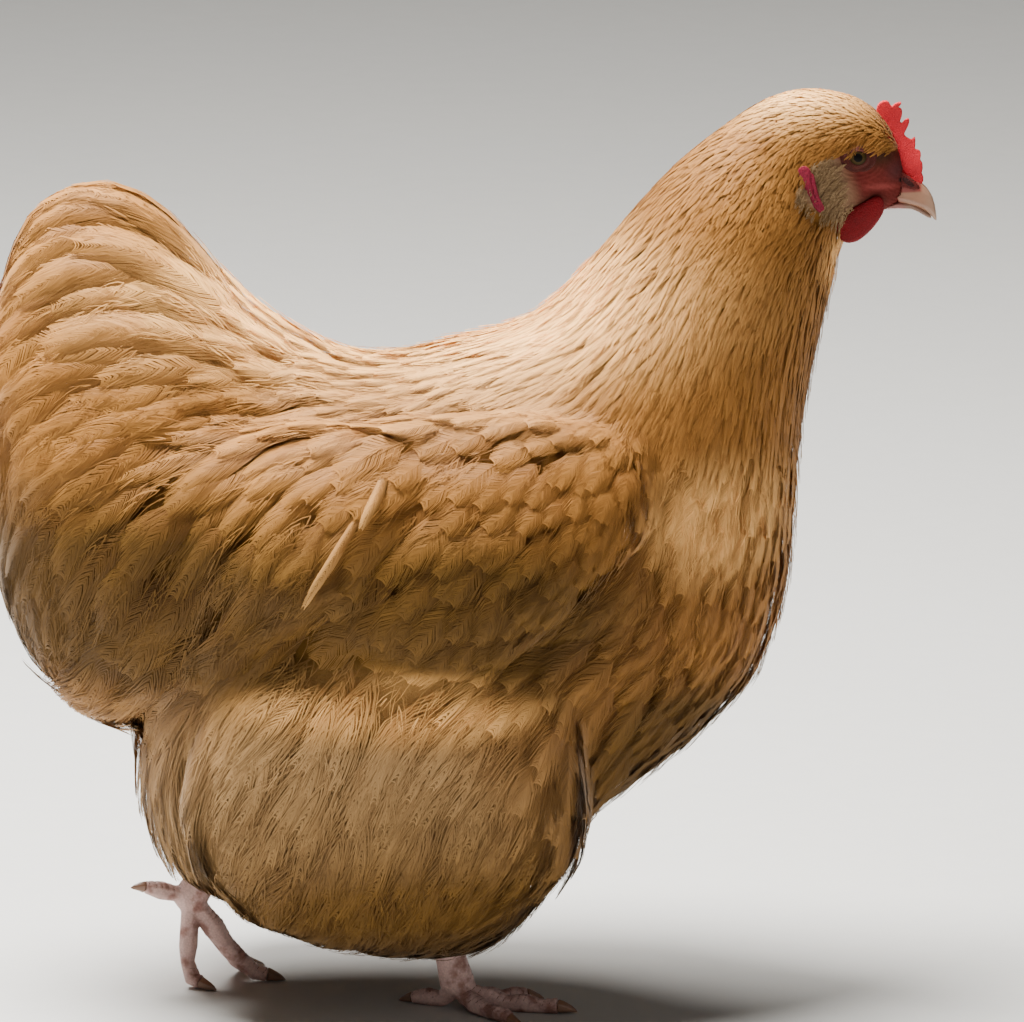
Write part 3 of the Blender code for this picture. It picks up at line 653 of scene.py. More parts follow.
# One kind of feather, with its sizes in millimetres and its angles in degrees:
# length and width; spacing, between two roots; strips, on each side of the vane, and parts, of each strip;
# start, where along the shaft the vane starts; angle, of the barbs; peak, where the vane is widest;
# blunt, the tip; fill, a strip's width as a share of its room; taper, how far it narrows;
# rag, how ragged its end is; cup, of the vane; curl, how far the tip bends in; stray, from the lie;
# hug, how closely it follows the body; shaft, its width; clump, how far the barbs gather;
# loft, how unevenly high the feathers stand.
Kind = namedtuple(
    "Kind",
    "length width spacing strips parts start angle peak blunt fill taper rag "
    "cup curl stray hug shaft clump loft",
)
KIND_ROWS = {
    "head": (13, 2.1, 1.42, 4, 2, 0.15, 8, 0.5, 0.9, 2.2, 0.8, 0.18, 0.08, 0, 6, 1, 0, 0.1, 0.05),
    "bristle": (6.5, 1.9, 1.25, 3, 2, 0.1, 9, 0.4, 1, 1.3, 0.7, 0.3, 0.2, -0.3, 12, 0.9, 0, 0.1, 0.15),
    "hackle": (48, 5.8, 3.1, 11, 2, 0.34, 7, 0.5, 0.9, 2.2, 0.8, 0.15, 0.12, 0.2, 5, 0.9, 0.3, 0.25, 0.12),
    "breast": (48, 26, 9.3, 34, 2, 0.3, 17, 0.6, 0.65, 1.9, 0.85, 0.12, 0.14, 0.8, 7, 0.97, 0, 0.15, 0.2),
    "back": (44, 16, 7.4, 24, 2, 0.32, 14, 0.58, 0.75, 1.8, 0.85, 0.14, 0.16, 0.2, 7, 0.85, 0, 0.25, 0.25),
    "wing": (46, 20, 9.5, 34, 2, 0.3, 19, 0.66, 0.55, 2, 0.8, 0.07, 0.12, 0.3, 7, 0.8, 0.4, 0.12, 0.35),
    "saddle": (72, 22, 11, 34, 3, 0.25, 11, 0.62, 0.6, 2.3, 0.78, 0.08, 0.24, 1.5, 9, 0.75, 0, 0.2, 0.8),
    "plume": (90, 22, 0, 60, 5, 0.08, 8, 0.6, 0.5, 2.4, 0.75, 0.05, 0.34, 2, 0, 1, 0, 0.12, 0),
    "tail": (86, 27, 13, 36, 3, 0.22, 10, 0.62, 0.55, 2.4, 0.78, 0.06, 0.3, 3, 9, 0.78, 0, 0.14, 1.2),
    "fluff": (62, 22, 7.5, 22, 3, 0.1, 9, 0.6, 0.85, 1.8, 0.8, 0.2, 0.16, 0.3, 9, 0.85, 0, 0.35, 0.3),
    "wisp": (34, 7, 7.5, 4, 3, 0.1, 9, 0.5, 0.9, 0.42, 0.8, 0.3, 0.1, -0.3, 14, 0.95, 0, 0.2, 0.3),
}
KINDS = {name: Kind(*row) for name, row in KIND_ROWS.items()}


LAY = 2.6  # how soon a feather comes up to the coat's surface along its length
SOFTEN = 2.6  # how far the shading rounds a feather off, for each unit of its cup
ROOT_HEIGHT = 0.001  # how far above the skin the feathers start
SHAFT_HEIGHT, SHAFT_POINTS = 0.0003, 6  # how far the shaft's strip lies above its vane, and its points
COURSE_STEPS = 6
BAKE_PATCH = 0.0014  # half of the room that a feather has in the bake map
# The arrays of a piece have five axes: the feather, its side, the barb strip, the step along it and its edge.
SIDE = np.array([-1.0, 1.0]).reshape(1, 2, 1, 1, 1)
EDGE = np.array([-0.5, 0.5]).reshape(1, 1, 1, 1, 2)
Sheet = namedtuple("Sheet", "points facts barb patch quads shown")  # a mesh, its maps and its shading normals


def wander(points, rng, wavelength, waves=6):
    """A smooth random number at each point, from about -1 to 1."""
    ways = unit(rng.normal(size=(waves, 3))) * (2 * math.pi / wavelength)
    phases = rng.uniform(0, 2 * math.pi, waves)
    return np.sin(points @ ways.T + phases).sum(1) / math.sqrt(waves)


def turned(way, out, turns):
    return way * np.cos(turns)[:, None] + np.cross(out, way) * np.sin(turns)[:, None]


def courses(kind, roots, sizes, turns):
    """The shafts' lines over the body, with the way out and the way along at each step."""
    spots, normals = roots.spots, roots.normals
    line, outs, ways = [spots], [normals], [turned(lie_at(spots, normals), normals, turns)]
    for _ in range(COURSE_STEPS):
        ahead = line[-1] + ways[-1] * (sizes / COURSE_STEPS)[:, None]
        near, out = FORMS["coat"].nearest(ahead)
        place = ahead + (near - ahead) * kind.hug
        way = ways[-1] + 0.35 * turned(lie_at(place, out), out, turns)
        line.append(place)
        outs.append(unit(outs[-1] + out))
        ways.append(along_surface(way, out))
    return np.stack(line, 1), np.stack(outs, 1), np.stack(ways, 1)


def along_course(values, share):
    """Values given at even steps along each feather, read at other shares of its length."""
    steps = values.shape[1] - 1
    at = np.clip(share, 0, 1) * steps
    low = np.minimum(at.astype(int), steps - 1)
    part = (at - low)[..., None]
    rows = np.arange(len(values)).reshape((-1,) + (1,) * (share.ndim - 1))
    return values[rows, low] * (1 - part) + values[rows, low + 1] * part


def outline(kind, share):
    """A vane's half width along the feather, as a share of its most."""
    rise = np.clip(share / kind.peak, 0, 1) ** 0.6
    fall = np.clip((share - kind.peak) / (1 - kind.peak), 0, 1)
    return np.where(share < kind.peak, rise, np.clip(1 - fall**2.2, 0, 1) ** kind.blunt)


def height(kind, share, depth, lift):
    """How high a feather lies: up from near the skin to the coat's surface, with the tip curled in."""
    return -(depth - ROOT_HEIGHT) * (1 - share) ** LAY + lift * share - kind.curl * MM * share**3


def stacked(shape, *values):
    """Arrays side by side in a new last axis, each spread to this shape."""
    return np.stack([np.broadcast_to(value, shape) for value in values], -1)


def strip_faces(shape, first=0):
    """The faces of strips with points numbered from first on; the last two axes are the step and the edge."""
    index = np.arange(math.prod(shape)).reshape(shape) + first
    return np.stack([index[..., :-1, 0], index[..., 1:, 0], index[..., 1:, 1], index[..., :-1, 1]], -1)


def barb_strips(kind, size, reach, step, rng):
    """The barb strips in their vane: how far along and across they run, and their points in the barb map."""
    each, both = (len(size), 2, kind.strips, 1, 1), (len(size), 2, 1, 1, 1)
    pitch, angle = (1 - kind.start) / kind.strips, math.radians(kind.angle)
    order = np.arange(kind.strips).reshape(1, 1, -1, 1, 1)
    start = kind.start + pitch * (order + rng.uniform(-0.25, 0.25, each))
    beat = order * 2 * math.pi / rng.uniform(3.0, 7.0, both) + rng.uniform(0, 6.3, both)
    gather = kind.clump * np.sin(beat + 0.9 * np.sin(beat * 0.37))
    start = np.clip(start, 0, 0.97)
    room = 1 - start
    sweep = reach / math.tan(angle) / size
    end = start + room * (1 - np.exp(-sweep / room))
    end = np.clip(end + 0.9 * pitch * gather, start + 0.02, 0.999)
    ragged = 1 + kind.rag * (0.75 * rng.normal(0, 1, each) + 1.2 * gather)
    across = reach * outline(kind, end * 0.985) * np.clip(ragged, 0.4, 1.5)
    across = across * np.sin(step * math.pi / 2) ** 0.9
    along = start * size + (end - start) * size * np.clip(ragged, 0.6, 1.15) * step**1.4
    dx, dy = np.gradient(along, axis=3), np.gradient(across, axis=3)
    long = np.sqrt(dx**2 + dy**2) + 1e-9
    gap = pitch * size * math.sin(angle)
    width = gap * kind.fill * (1 - kind.taper * step**1.5) * rng.uniform(0.8, 1.2, each)
    run = step * sweep * size / MM
    lane = (start * size * math.sin(angle) + EDGE * width) / MM
    return along - EDGE * width * dy / long, across + EDGE * width * dx / long, run, lane


def feather_mesh(name, kind, roots, rng, scale, lift, course=None, sizes=None):
    """All the feathers of one piece as one mesh of barb strips, each along its course over the body."""
    count = len(roots.spots)
    half = kind.width * MM / 2 * (scale * rng.uniform(0.88, 1.12, count))
    if sizes is None:
        sizes = kind.length * MM * scale * rng.uniform(0.86, 1.14, count)
    turns = np.radians(kind.stray) * (rng.normal(0, 0.75, count) + 0.7 * wander(roots.spots, rng, 0.035))
    line, outs, ways = course or courses(kind, roots, sizes, turns)
    size, reach, depth = (values.reshape(-1, 1, 1, 1, 1) for values in (sizes, half, roots.depth))
    step = np.linspace(0, 1, kind.parts + 1).reshape(1, 1, 1, -1, 1)
    along, across, run, lane = barb_strips(kind, size, reach, step, rng)
    whole, each, both = (count, 1, 1, 1, 1), (count, 2, kind.strips, 1, 1), (count, 2, 1, 1, 1)
    share = np.clip(along / size, 0, 1)
    rise = height(kind, share, depth, lift + kind.loft * MM * rng.normal(0, 1, whole))
    rise = rise - kind.cup * np.abs(across) ** 2 / reach * (0.4 + 0.6 * share)
    rise = rise + EDGE * 0.12 * MM + rng.normal(0, 0.05 * MM, each) * step
    out, way = along_course(outs, share), along_course(ways, share)
    sideways = np.cross(out, way)
    spots = along_course(line, share) + way * np.clip(along - size, 0, None)[..., None]
    points = spots + sideways * (SIDE * across)[..., None] + out * rise[..., None]
    roll = SOFTEN * kind.cup * SIDE * across / reach + rng.normal(0, 0.075, each)
    shown = unit(out + sideways * roll[..., None] + way * (0.22 * share**4)[..., None])
    tint = rng.uniform(-1, 1, whole) + rng.normal(0, 0.2, each)
    facts = stacked(share.shape, tint, share, step)
    barb = stacked(share.shape, run, lane + rng.uniform(0, 900, both))
    patch = stacked(share.shape, SIDE * across / reach, 2 * share - 1) * BAKE_PATCH
    quads = strip_faces(share.shape)
    quads[:, 0] = quads[:, 0][..., ::-1]
    sheets = [Sheet(points, facts, barb, patch + roots.unwrap.reshape(-1, 1, 1, 1, 1, 2), quads, shown)]
    if kind.shaft:
        sheets.append(shafts(kind, line, outs, ways, sizes, roots, lift, share.size))
    return joined(name, sheets)


def shafts(kind, line, outs, ways, sizes, roots, lift, first):
    """The pale shafts: a narrow strip over the middle of each vane."""
    steps = np.linspace(kind.start, 0.96, SHAFT_POINTS).reshape(1, -1, 1)
    share = np.broadcast_to(steps, (len(line), SHAFT_POINTS, 2))
    across = EDGE[0, 0] * kind.shaft * MM * (1.15 - share)
    rise = height(kind, share, roots.depth.reshape(-1, 1, 1), lift) + SHAFT_HEIGHT
    out, way = along_course(outs, share), along_course(ways, share)
    points = along_course(line, share) + np.cross(out, way) * across[..., None] + out * rise[..., None]
    facts = stacked(share.shape, 0.0, share, -0.5)
    barb = stacked(share.shape, share * sizes.reshape(-1, 1, 1) / MM, across / MM)
    patch = stacked(share.shape, 0.0, 2 * share - 1) * BAKE_PATCH + roots.unwrap.reshape(-1, 1, 1, 2)
    return Sheet(points, facts, barb, patch, strip_faces(share.shape, first), out)


def joined(name, sheets):
    """One mesh object from these sheets, with the bake map first and the barb map second."""
    points, facts, barb, patch, quads, shown = (
        np.concatenate([values.reshape(-1, values.shape[-1]) for values in part]) for part in zip(*sheets)
    )
    mesh = bpy.data.meshes.new(name)
    mesh.vertices.add(len(points))
    write(mesh.vertices, "co", points)
    mesh.loops.add(quads.size)
    write(mesh.loops, "vertex_index", quads, np.int32)
    mesh.polygons.add(len(quads))
    write(mesh.polygons, "loop_start", np.arange(0, quads.size, 4), np.int32)
    mesh.update(calc_edges=True)
    mesh.shade_smooth()
    for key, values in (("OFBake", patch), ("barb", barb)):
        write(mesh.uv_layers.new(name=key).data, "uv", values[quads.ravel()])
    mesh.normals_split_custom_set_from_vertices(shown.astype(np.float32))
    write(mesh.attributes.new("feather", "FLOAT_VECTOR", "POINT").data, "vector", facts)
    return linked(mesh)


def linked(mesh):
    """An object for this mesh, under its name."""
    made = bpy.data.objects.new(mesh.name, mesh)
    bpy.context.scene.collection.objects.link(made)
    return made


def region_ids(*names):
    return [i for i, node in enumerate(FLESH) if node in names or node.split("_")[0] in names]


def grow(name, kind_name, chosen, material, lift=0.0, scale=1.0):
    """One piece of the coat: feathers of one kind on the chosen triangles, scaled from place to place."""
    form, settings = FORMS["coat"], bpy.context.scene.hen_plumage
    kind = KINDS[kind_name]
    rng = np.random.default_rng([settings.seed, len(name), sum(map(ord, name))])
    scale = np.broadcast_to(scale, len(form.area))
    gap = kind.spacing * MM * scale**0.8 / math.sqrt(settings.density)
    picked, roots = form.strewn(chosen, gap, rng)
    made = feather_mesh(name, kind, roots, rng, scale[picked], lift)
    finished(made, material)
    print(name, len(picked), "feathers,", 2 * len(made.data.polygons), "triangles", flush=True)


# --- the pieces, one operator each --------------------------------------------------------------------------


class HEN_OT_skin(bpy.types.Operator):
    """The skin: one body under the coat, bare on the face"""

    bl_idname = "hen.skin"
    bl_label = "Skin"

    def execute(self, context):
        skin = coat_form()
        FORMS["coat"] = Form(skin.data)
        skin.name = skin.data.name = "skin"
        depth = FORMS["coat"].depth
        most = float(depth.max())
        group = skin.vertex_groups.new(name="coat")
        for index, value in enumerate(depth.tolist()):
            group.add([index], value / most, "REPLACE")
        apply(skin, "DISPLACE", strength=-most, mid_level=0.0, vertex_group="coat")
        apply(skin, "SMOOTH", factor=0.5, iterations=3)
        self.refine_face(skin)
        skin.vertex_groups.clear()
        skin.data.shade_smooth()
        finished(skin, skin_finish(), FLESH)
        return {"FINISHED"}

    def refine_face(self, skin):
        """Cuts the skin finer on the face, brings it back to the head's solid there and adds its folds."""
        mesh = skin.data
        head = tree_of(frame["nodes"]["head"].data)
        centres = np.array([p.center for p in mesh.polygons])
        only(skin)
        bpy.ops.object.mode_set(mode="EDIT")
        bpy.ops.mesh.select_mode(type="FACE")
        bpy.ops.mesh.select_all(action="DESELECT")
        bpy.ops.object.mode_set(mode="OBJECT")
        mesh.polygons.foreach_set("select", (face_share(centres) < 1.3) & (centres[:, 0] > FACE_FROM))
        bpy.ops.object.mode_set(mode="EDIT")
        bpy.ops.mesh.subdivide(number_cuts=3)
        bpy.ops.object.mode_set(mode="OBJECT")
        points = places(mesh)
        share = face_share(points)
        inside = np.flatnonzero((share < 1.25) & (points[:, 0] > FACE_FROM))
        share = share[inside]
        spots = np.array([head.find_nearest(p)[0][:] for p in points[inside].tolist()])
        points[inside] += (spots - points[inside]) * (1 - smoothstep(share, 0.9, 1.25))[:, None]
        move_to(mesh, points)
        group = skin.vertex_groups.new(name="face")
        group.add(inside.tolist(), 1.0, "REPLACE")
        apply(skin, "SMOOTH", factor=0.5, iterations=3, vertex_group="face")
        points, normals = places(mesh), directions(mesh)
        folds = face_folds(points[inside]) * (1 - smoothstep(share, 0.7, 1.0))
        points[inside] += normals[inside] * folds[:, None]
        move_to(mesh, points)


def face_folds(points):
    """How far the bare face's fine folds stand out: creases round the eye and down to the gape."""
    eye = np.array(eye_centre())
    x, z = points[:, 0] - eye[0], points[:, 2] - eye[2]
    far = np.hypot(x, z)
    angle = np.arctan2(z, x)
    rings = np.sin(far / 0.0021 * 2 * math.pi + 1.3 * np.sin(angle * 3))
    rings = rings * np.exp(-(((far - 0.010) / 0.005) ** 2))
    bend = 1.6 * np.sin(points[:, 0] / 0.0037) + 1.4 * np.sin(points[:, 2] / 0.0029)
    down = np.sin((x * 0.5 + z * 0.9) / 0.0023 * 2 * math.pi + bend) * smoothstep(-z, 0.004, 0.012)
    return 0.00020 * rings + 0.00010 * down


def skin_finish():
    settings = bpy.context.scene.hen_head
    finish = Finish("skin", Roughness=0.6, Specular_IOR_Level=0.08)
    place = finish.place()
    x, _, z = finish.parts(place)
    up = z / MM - FACE_CENTRE[1]
    across = (x / MM - FACE_CENTRE[0] + FACE_SHEAR * up.maths("MINIMUM", up, 0.0)) / FACE_REACH[0]
    bare = (across * across + (up / FACE_REACH[1]) ** 2.0).ramp(1.15, 0.85)
    bare = (bare + 4.0 * finish.near(place, (194, 0, 422), 13, (1, 0, 1))).clipped()
    # Under the coat the skin takes the coat's colour, darkened as painted shade of the coat's depths seen
    # through its gaps.
    under = finish.scaled(plumage_colour(finish, place), 0.7)
    grain = finish.noise(place, 900.0, 2.0)
    blotch = finish.noise(place, 190.0, 3.0)
    skin = finish.scaled(tuple(settings.face), 0.6 + 0.8 * blotch)
    cheek = (x / MM + 0.35 * (z / MM - 412.0)).ramp(195.0, 184.0) * (z / MM).ramp(386.0, 398.0)
    skin = finish.mix(cheek * 0.8, skin, (0.26, 0.16, 0.09))
    for centre, radius, flat, share, shade in FACE_TINTS:
        there = finish.near(place, centre, radius, flat)
        skin = finish.mix((there * share).clipped(), skin, shade)
    eye = eye_centre()
    reach = settings.opening / 2
    wide, tall = (x - eye.x) / reach, (z - eye.z) / (reach * 0.81)
    lip = abs((wide * wide + tall * tall) ** 0.5 - 1.10).ramp(0.16, 0.03)
    skin = finish.mix(lip * 0.55, skin, (0.17, 0.105, 0.05))
    skin = finish.scaled(skin, 0.8 + 0.4 * grain)
    finish.set("Base Color", finish.mix(bare, under, skin))
    finish.set("Roughness", 0.85 - 0.15 * bare)
    finish.bump(grain + 0.6 * blotch, 0.0004, 0.5)
    return finish.material


# Colours on the bare face: a centre and a reach in the side view, how strong, and the colour. Three of them
# are painted shade, marked below.
FACE_TINTS = [
    # Painted shade on the lores, in front of the eye under the brow.
    ((204, 0, 421), 13, (0.75, 0, 1.3), 1.0, (0.050, 0.020, 0.010)),
    ((213, 0, 413), 8, (1, 0, 1), 0.8, (0.075, 0.025, 0.026)),
    # The nostril's opening, painted dark as the shade inside it.
    ((215.8, 0, 408), 2.6, (0.9, 0, 1.3), 2.0, (0.015, 0.008, 0.008)),
    ((176, 0, 423), 10, (0.7, 0, 1.6), 1.3, (0.34, 0.24, 0.15)),
    ((184.5, 0, 423), 4, (0.8, 0, 1), 1.2, (0.17, 0.015, 0.022)),
    ((205, 0, 405.5), 9, (0.7, 0, 3.2), 1.1, (0.24, 0.045, 0.040)),
    ((200, 0, 398), 9, (0.7, 0, 1.6), 0.9, (0.085, 0.022, 0.015)),
    # Painted shadow of the brow over the upper lid.
    ((192, 0, 429), 7.5, (0.7, 0, 1.2), 2.0, (0.11, 0.045, 0.010)),
]


def eye_centre(side=1):
    low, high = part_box("eye_left")
    middle = (low + high) / 2
    radius = (high.x - low.x) / 2
    return Vector((middle.x, side * (low.y + radius), middle.z))


class Tracts:
    """Where on the form each kind of feather grows, as one truth value per triangle."""

    def __init__(self, form, rng):
        self.x, self.y, self.z = x, y, z = form.centres.T / MM
        self.left = y > 0
        bare = face_share(form.centres)
        scatter = rng.uniform(-1, 1, len(x))
        parts = ("trunk", "wing", "saddle", "tail", "thigh")
        on = {part: np.isin(form.region, region_ids(part)) for part in parts}
        neck = np.isin(form.region, region_ids("neck", "head"))
        trunk = on["trunk"]
        low = (z < 150 + 0.25 * np.clip(x, 0, None)) & (x < 95) | (x < 40) & (z < 215)
        back = trunk & (z > 300 - 0.25 * np.abs(x))
        cape_edge = 255 + 58 * smoothstep(x, 20, 85)
        self.fluff = on["thigh"] | (trunk & low)
        self.breast = trunk & ~low & ~back | (neck & (z < cape_edge + 7 + 10 * scatter))
        self.back = back
        self.tail = on["tail"]
        tips = self.ahead(form, 36 * MM)
        self.wing = on["wing"] & (tips[:, 2] / MM > np.interp(tips[:, 0] / MM, *WING_EDGE) - 3)
        self.saddle = on["saddle"] | (on["tail"] & (z < 320))
        crown = (x > 128) & (z > 398 + 14 * scatter)
        self.hackle = neck & (x < 186) & (bare > 1.3) & (z > cape_edge) & ~crown
        lobe = np.abs((x - 171.5) + 0.42 * (z - 407)) + np.clip(np.abs(z - 407) - 10, 0, None) < 3.2
        self.head = neck & (x > 124) & (bare > 1.02) & (z > 386 + 20 * scatter) & ~lobe
        jaw = neck & (x > 160) & (z > 388) & (z < 426) & ~lobe
        self.cheek = jaw & (bare < 1.05) & (x < 187 + 0.35 * (412 - z) + 3.5 * scatter)
        arch = np.abs(z - 429.0 + 0.004 * (x - 196) ** 2) < 2.6
        self.brow = neck & (np.abs(x - 195) < 13) & arch & (np.abs(y) > 5)
        self.loose = ~(neck & (z > 380)) & (bare > 1.3)

    def ahead(self, form, far):
        """Each triangle's centre, carried this far along the lie of the coat."""
        outward = unit(form.normals[form.corners].sum(1))
        return form.centres + lie_at(form.centres, outward) * far

    def sides(self, chosen):
        return (("left", chosen & self.left), ("right", chosen & ~self.left))


# The lower edge of the folded wing in the side view: X, and the height there.
WING_EDGE = ((-90, -60, -22, -2, 27, 51, 70, 95), (222, 208, 192, 187, 197, 216, 236, 262))


def tracts():
    if "tracts" not in FORMS:
        FORMS["tracts"] = Tracts(FORMS["coat"], np.random.default_rng(bpy.context.scene.hen_plumage.seed))
    return FORMS["tracts"]


class HEN_OT_fluff(bpy.types.Operator):
    """The fluff of the thighs and the belly"""

    bl_idname = "hen.fluff"
    bl_label = "Fluff"

    def execute(self, context):
        made = tracts()
        finish = feather_finish("fluffy_feathers", 0.3)
        for name, chosen in made.sides(made.fluff):
            grow("fluff_" + name, "fluff", chosen, finish, 0.001)
        vent = np.hypot(np.hypot(made.x + 142, made.z - 165), 0.5 * (np.abs(made.y) - 60)) < 42
        grow("vent_fluff", "fluff", vent, finish, 0.006)
        flank = (np.hypot(made.x - 72, 0.55 * (made.z - 160)) < 27) & (np.abs(made.y) > 30)
        grow("flank_fluff", "breast", flank, finish, 0.006)
        return {"FINISHED"}


class HEN_OT_breast(bpy.types.Operator):
    """The feathers of the breast, the flanks and the back"""

    bl_idname = "hen.breast"
    bl_label = "Breast and back"

    def execute(self, context):
        made = tracts()
        size = 0.75 + 0.35 * smoothstep(150 - made.x, 0, 90)
        finish = feather_finish("breast_feathers", 0.3)
        grow("breast", "breast", made.breast, finish, 0.0006, size)
        grow("back", "back", made.back, feather_finish("back_feathers", 0.35), 0.0006)
        return {"FINISHED"}


class HEN_OT_tail(bpy.types.Operator):
    """The big soft feathers of the tail"""

    bl_idname = "hen.tail"
    bl_label = "Tail"

    def execute(self, context):
        grow("tail_feathers", "tail", tracts().tail, feather_finish("tail_feathers", 0.3), 0.002)
        return {"FINISHED"}


class HEN_OT_wings(bpy.types.Operator):
    """The coverts of the folded wings"""

    bl_idname = "hen.wings"
    bl_label = "Wings"

    def execute(self, context):
        made = tracts()
        finish = feather_finish("wing_feathers", 0.35)
        size = 0.66 + 0.5 * smoothstep(90 - made.x, 0, 110)
        for name, chosen in made.sides(made.wing):
            grow("wing_feathers_" + name, "wing", chosen, finish, 0.0022, size)
        for name, chosen in made.sides(np.hypot(made.x - 84, made.z - 292) < 22):
            grow("shoulder_feathers_" + name, "breast", chosen, finish, 0.0022, 0.7)
        return {"FINISHED"}


class HEN_OT_saddle(bpy.types.Operator):
    """The long feathers that drape from the saddle over the wings' ends and the cushion"""

    bl_idname = "hen.saddle"
    bl_label = "Saddle"

    def execute(self, context):
        made = tracts()
        finish = feather_finish("saddle_feathers", 0.35)
        size = 0.72 + 0.4 * smoothstep(-made.x, 30, 110)
        for name, chosen in made.sides(made.saddle):
            grow("saddle_feathers_" + name, "saddle", chosen, finish, 0.0016, size)
        return {"FINISHED"}


def laid(form, path):
    """A course along a path in millimetres: its places on the form, ways out, ways along and length."""
    corners = np.array(path, float) * MM
    run = np.concatenate([[0], np.cumsum(np.linalg.norm(np.diff(corners, axis=0), axis=1))])
    even = np.linspace(0, run[-1], COURSE_STEPS + 1)
    line, outs = form.nearest(np.stack([np.interp(even, run, corners[:, k]) for k in range(3)], 1))
    ways = np.gradient(line, axis=0)
    return line, outs, along_surface(ways, outs), run[-1]


class HEN_OT_plumes(bpy.types.Operator):
    """The biggest feathers of the tail, laid one by one, and the long pale ones over each wing's end"""

    bl_idname = "hen.plumes"
    bl_label = "Plumes"

    def execute(self, context):
        finish = feather_finish("plumes", 0.25)
        crest = [each for path in CREST for each in (path, self.mirrored(path))]
        self.lay("tail_plumes", crest, finish, 0.0045)
        pale = feather_finish("pale_plume", 0.2, 0.2, 0.42)
        for name, side in SIDES.items():
            paths = [path if side > 0 else self.mirrored(path) for path in LONG_FEATHERS]
            self.lay("long_feathers_" + name, paths, pale, 0.0075, 0.24)
        return {"FINISHED"}

    def mirrored(self, path):
        return [(x, -y, z) for x, y, z in path]

    def lay(self, name, paths, finish, lift, scale=1.0):
        form, count = FORMS["coat"], len(paths)
        rng = np.random.default_rng([bpy.context.scene.hen_plumage.seed, len(name), count])
        line, outs, ways, sizes = (np.array(part) for part in zip(*(laid(form, path) for path in paths)))
        starts = line[:, 0]
        unwrap = form.unwrap[[form.tree.find_nearest(p)[2] for p in starts.tolist()]].mean(1)
        roots = Roots(starts, outs[:, 0], np.full(count, PLUME_DEPTH), unwrap)
        wide = np.full(count, scale)
        made = feather_mesh(name, KINDS["plume"], roots, rng, wide, lift, (line, outs, ways), sizes)
        finished(made, finish)


PLUME_DEPTH = 0.005  # how far below the coat's surface the plumes' roots lie
# The plumes' paths on the left, from root to tip, in millimetres: the tail's, row by row from the crest down,
# and the long ones over the wing's end.
CREST = [
    [(-92, 9, 346), (-122, 10, 374), (-150, 10, 394), (-176, 9, 400)],
    [(-112, 3, 366), (-140, 4, 390), (-170, 5, 402), (-200, 5, 394)],
    [(-132, 14, 380), (-160, 15, 394), (-188, 13, 394), (-210, 11, 376)],
    [(-150, 5, 398), (-178, 6, 404), (-204, 6, 390), (-220, 6, 362)],
    [(-100, 24, 342), (-130, 26, 364), (-158, 27, 378), (-184, 25, 378)],
    [(-128, 30, 356), (-156, 31, 368), (-184, 28, 366), (-206, 24, 350)],
    [(-150, 24, 380), (-176, 24, 386), (-200, 20, 374), (-217, 15, 348)],
    [(-112, 42, 330), (-142, 46, 340), (-170, 46, 342), (-196, 40, 330)],
    [(-140, 48, 322), (-168, 50, 326), (-195, 42, 318), (-216, 32, 298)],
    [(-164, 36, 356), (-190, 34, 352), (-212, 25, 332), (-225, 18, 304)],
    [(-176, 44, 306), (-200, 38, 298), (-217, 29, 278), (-227, 20, 252)],
    [(-128, 66, 296), (-156, 66, 294), (-182, 58, 280), (-202, 48, 258)],
    [(-158, 62, 272), (-182, 56, 260), (-202, 46, 242), (-216, 36, 216)],
    [(-190, 50, 262), (-206, 42, 246), (-219, 32, 224), (-225, 24, 198)],
]
LONG_FEATHERS = [
    [(-24, 116, 303), (-32, 119, 289), (-39, 121, 275), (-45, 122, 261)],
    [(-34, 118, 288), (-46, 121, 268), (-57, 122, 247), (-72, 120, 225)],
]


class HEN_OT_hackle(bpy.types.Operator):
    """The narrow feathers of the neck"""

    bl_idname = "hen.hackle"
    bl_label = "Hackle"

    def execute(self, context):
        made = tracts()
        finish = feather_finish("hackle_feathers", 0.35)
        size = 0.36 + 0.64 * smoothstep(np.hypot(made.x - 165, made.z - 425), 15, 140)
        for name, chosen in made.sides(made.hackle):
            grow("hackle_" + name, "hackle", chosen, finish, 0.0006, size)
        return {"FINISHED"}


class HEN_OT_head_feathers(bpy.types.Operator):
    """The small feathers of the head and the bristles of the cheeks"""

    bl_idname = "hen.head_feathers"
    bl_label = "Head feathers"

    def execute(self, context):
        made = tracts()
        size = 0.62 + 0.75 * smoothstep(205 - made.x, 0, 60)
        grow("head_feathers", "head", made.head, feather_finish("head_feathers"), 0.0004, size)
        grow("brow_feathers", "head", made.brow, bpy.data.materials["head_feathers"], 0.0062, 0.62)
        grow("cheek_bristles", "bristle", made.cheek, bristle_finish(), 0.0008)
        return {"FINISHED"}


class HEN_OT_wisps(bpy.types.Operator):
    """The loose barbs that lie over the whole coat"""

    bl_idname = "hen.wisps"
    bl_label = "Wisps"

    def execute(self, context):
        made = tracts()
        finish = feather_finish("wisps")
        size = 0.8 + 0.5 * smoothstep(60 - made.x, 0, 160)
        for name, chosen in made.sides(made.loose):
            grow("wisps_" + name, "wisp", chosen, finish, 0.0018, size)
        return {"FINISHED"}


def solid_of(name, points, faces):
    """A smooth mesh object from points in metres, with its faces turned outward."""
    mesh = bpy.data.meshes.new(name)
    mesh.from_pydata([tuple(p) for p in points], [], faces)
    made = linked(mesh)
    edited(made, lambda: bpy.ops.mesh.normals_make_consistent(inside=False))
    bpy.ops.object.shade_smooth()
    return made


def softened(obj, voxel, rounds):
    """One even skin over a piece, smoothed this many times."""
    apply(obj, "REMESH", mode="VOXEL", voxel_size=voxel)
    apply(obj, "SMOOTH", factor=0.5, iterations=rounds)


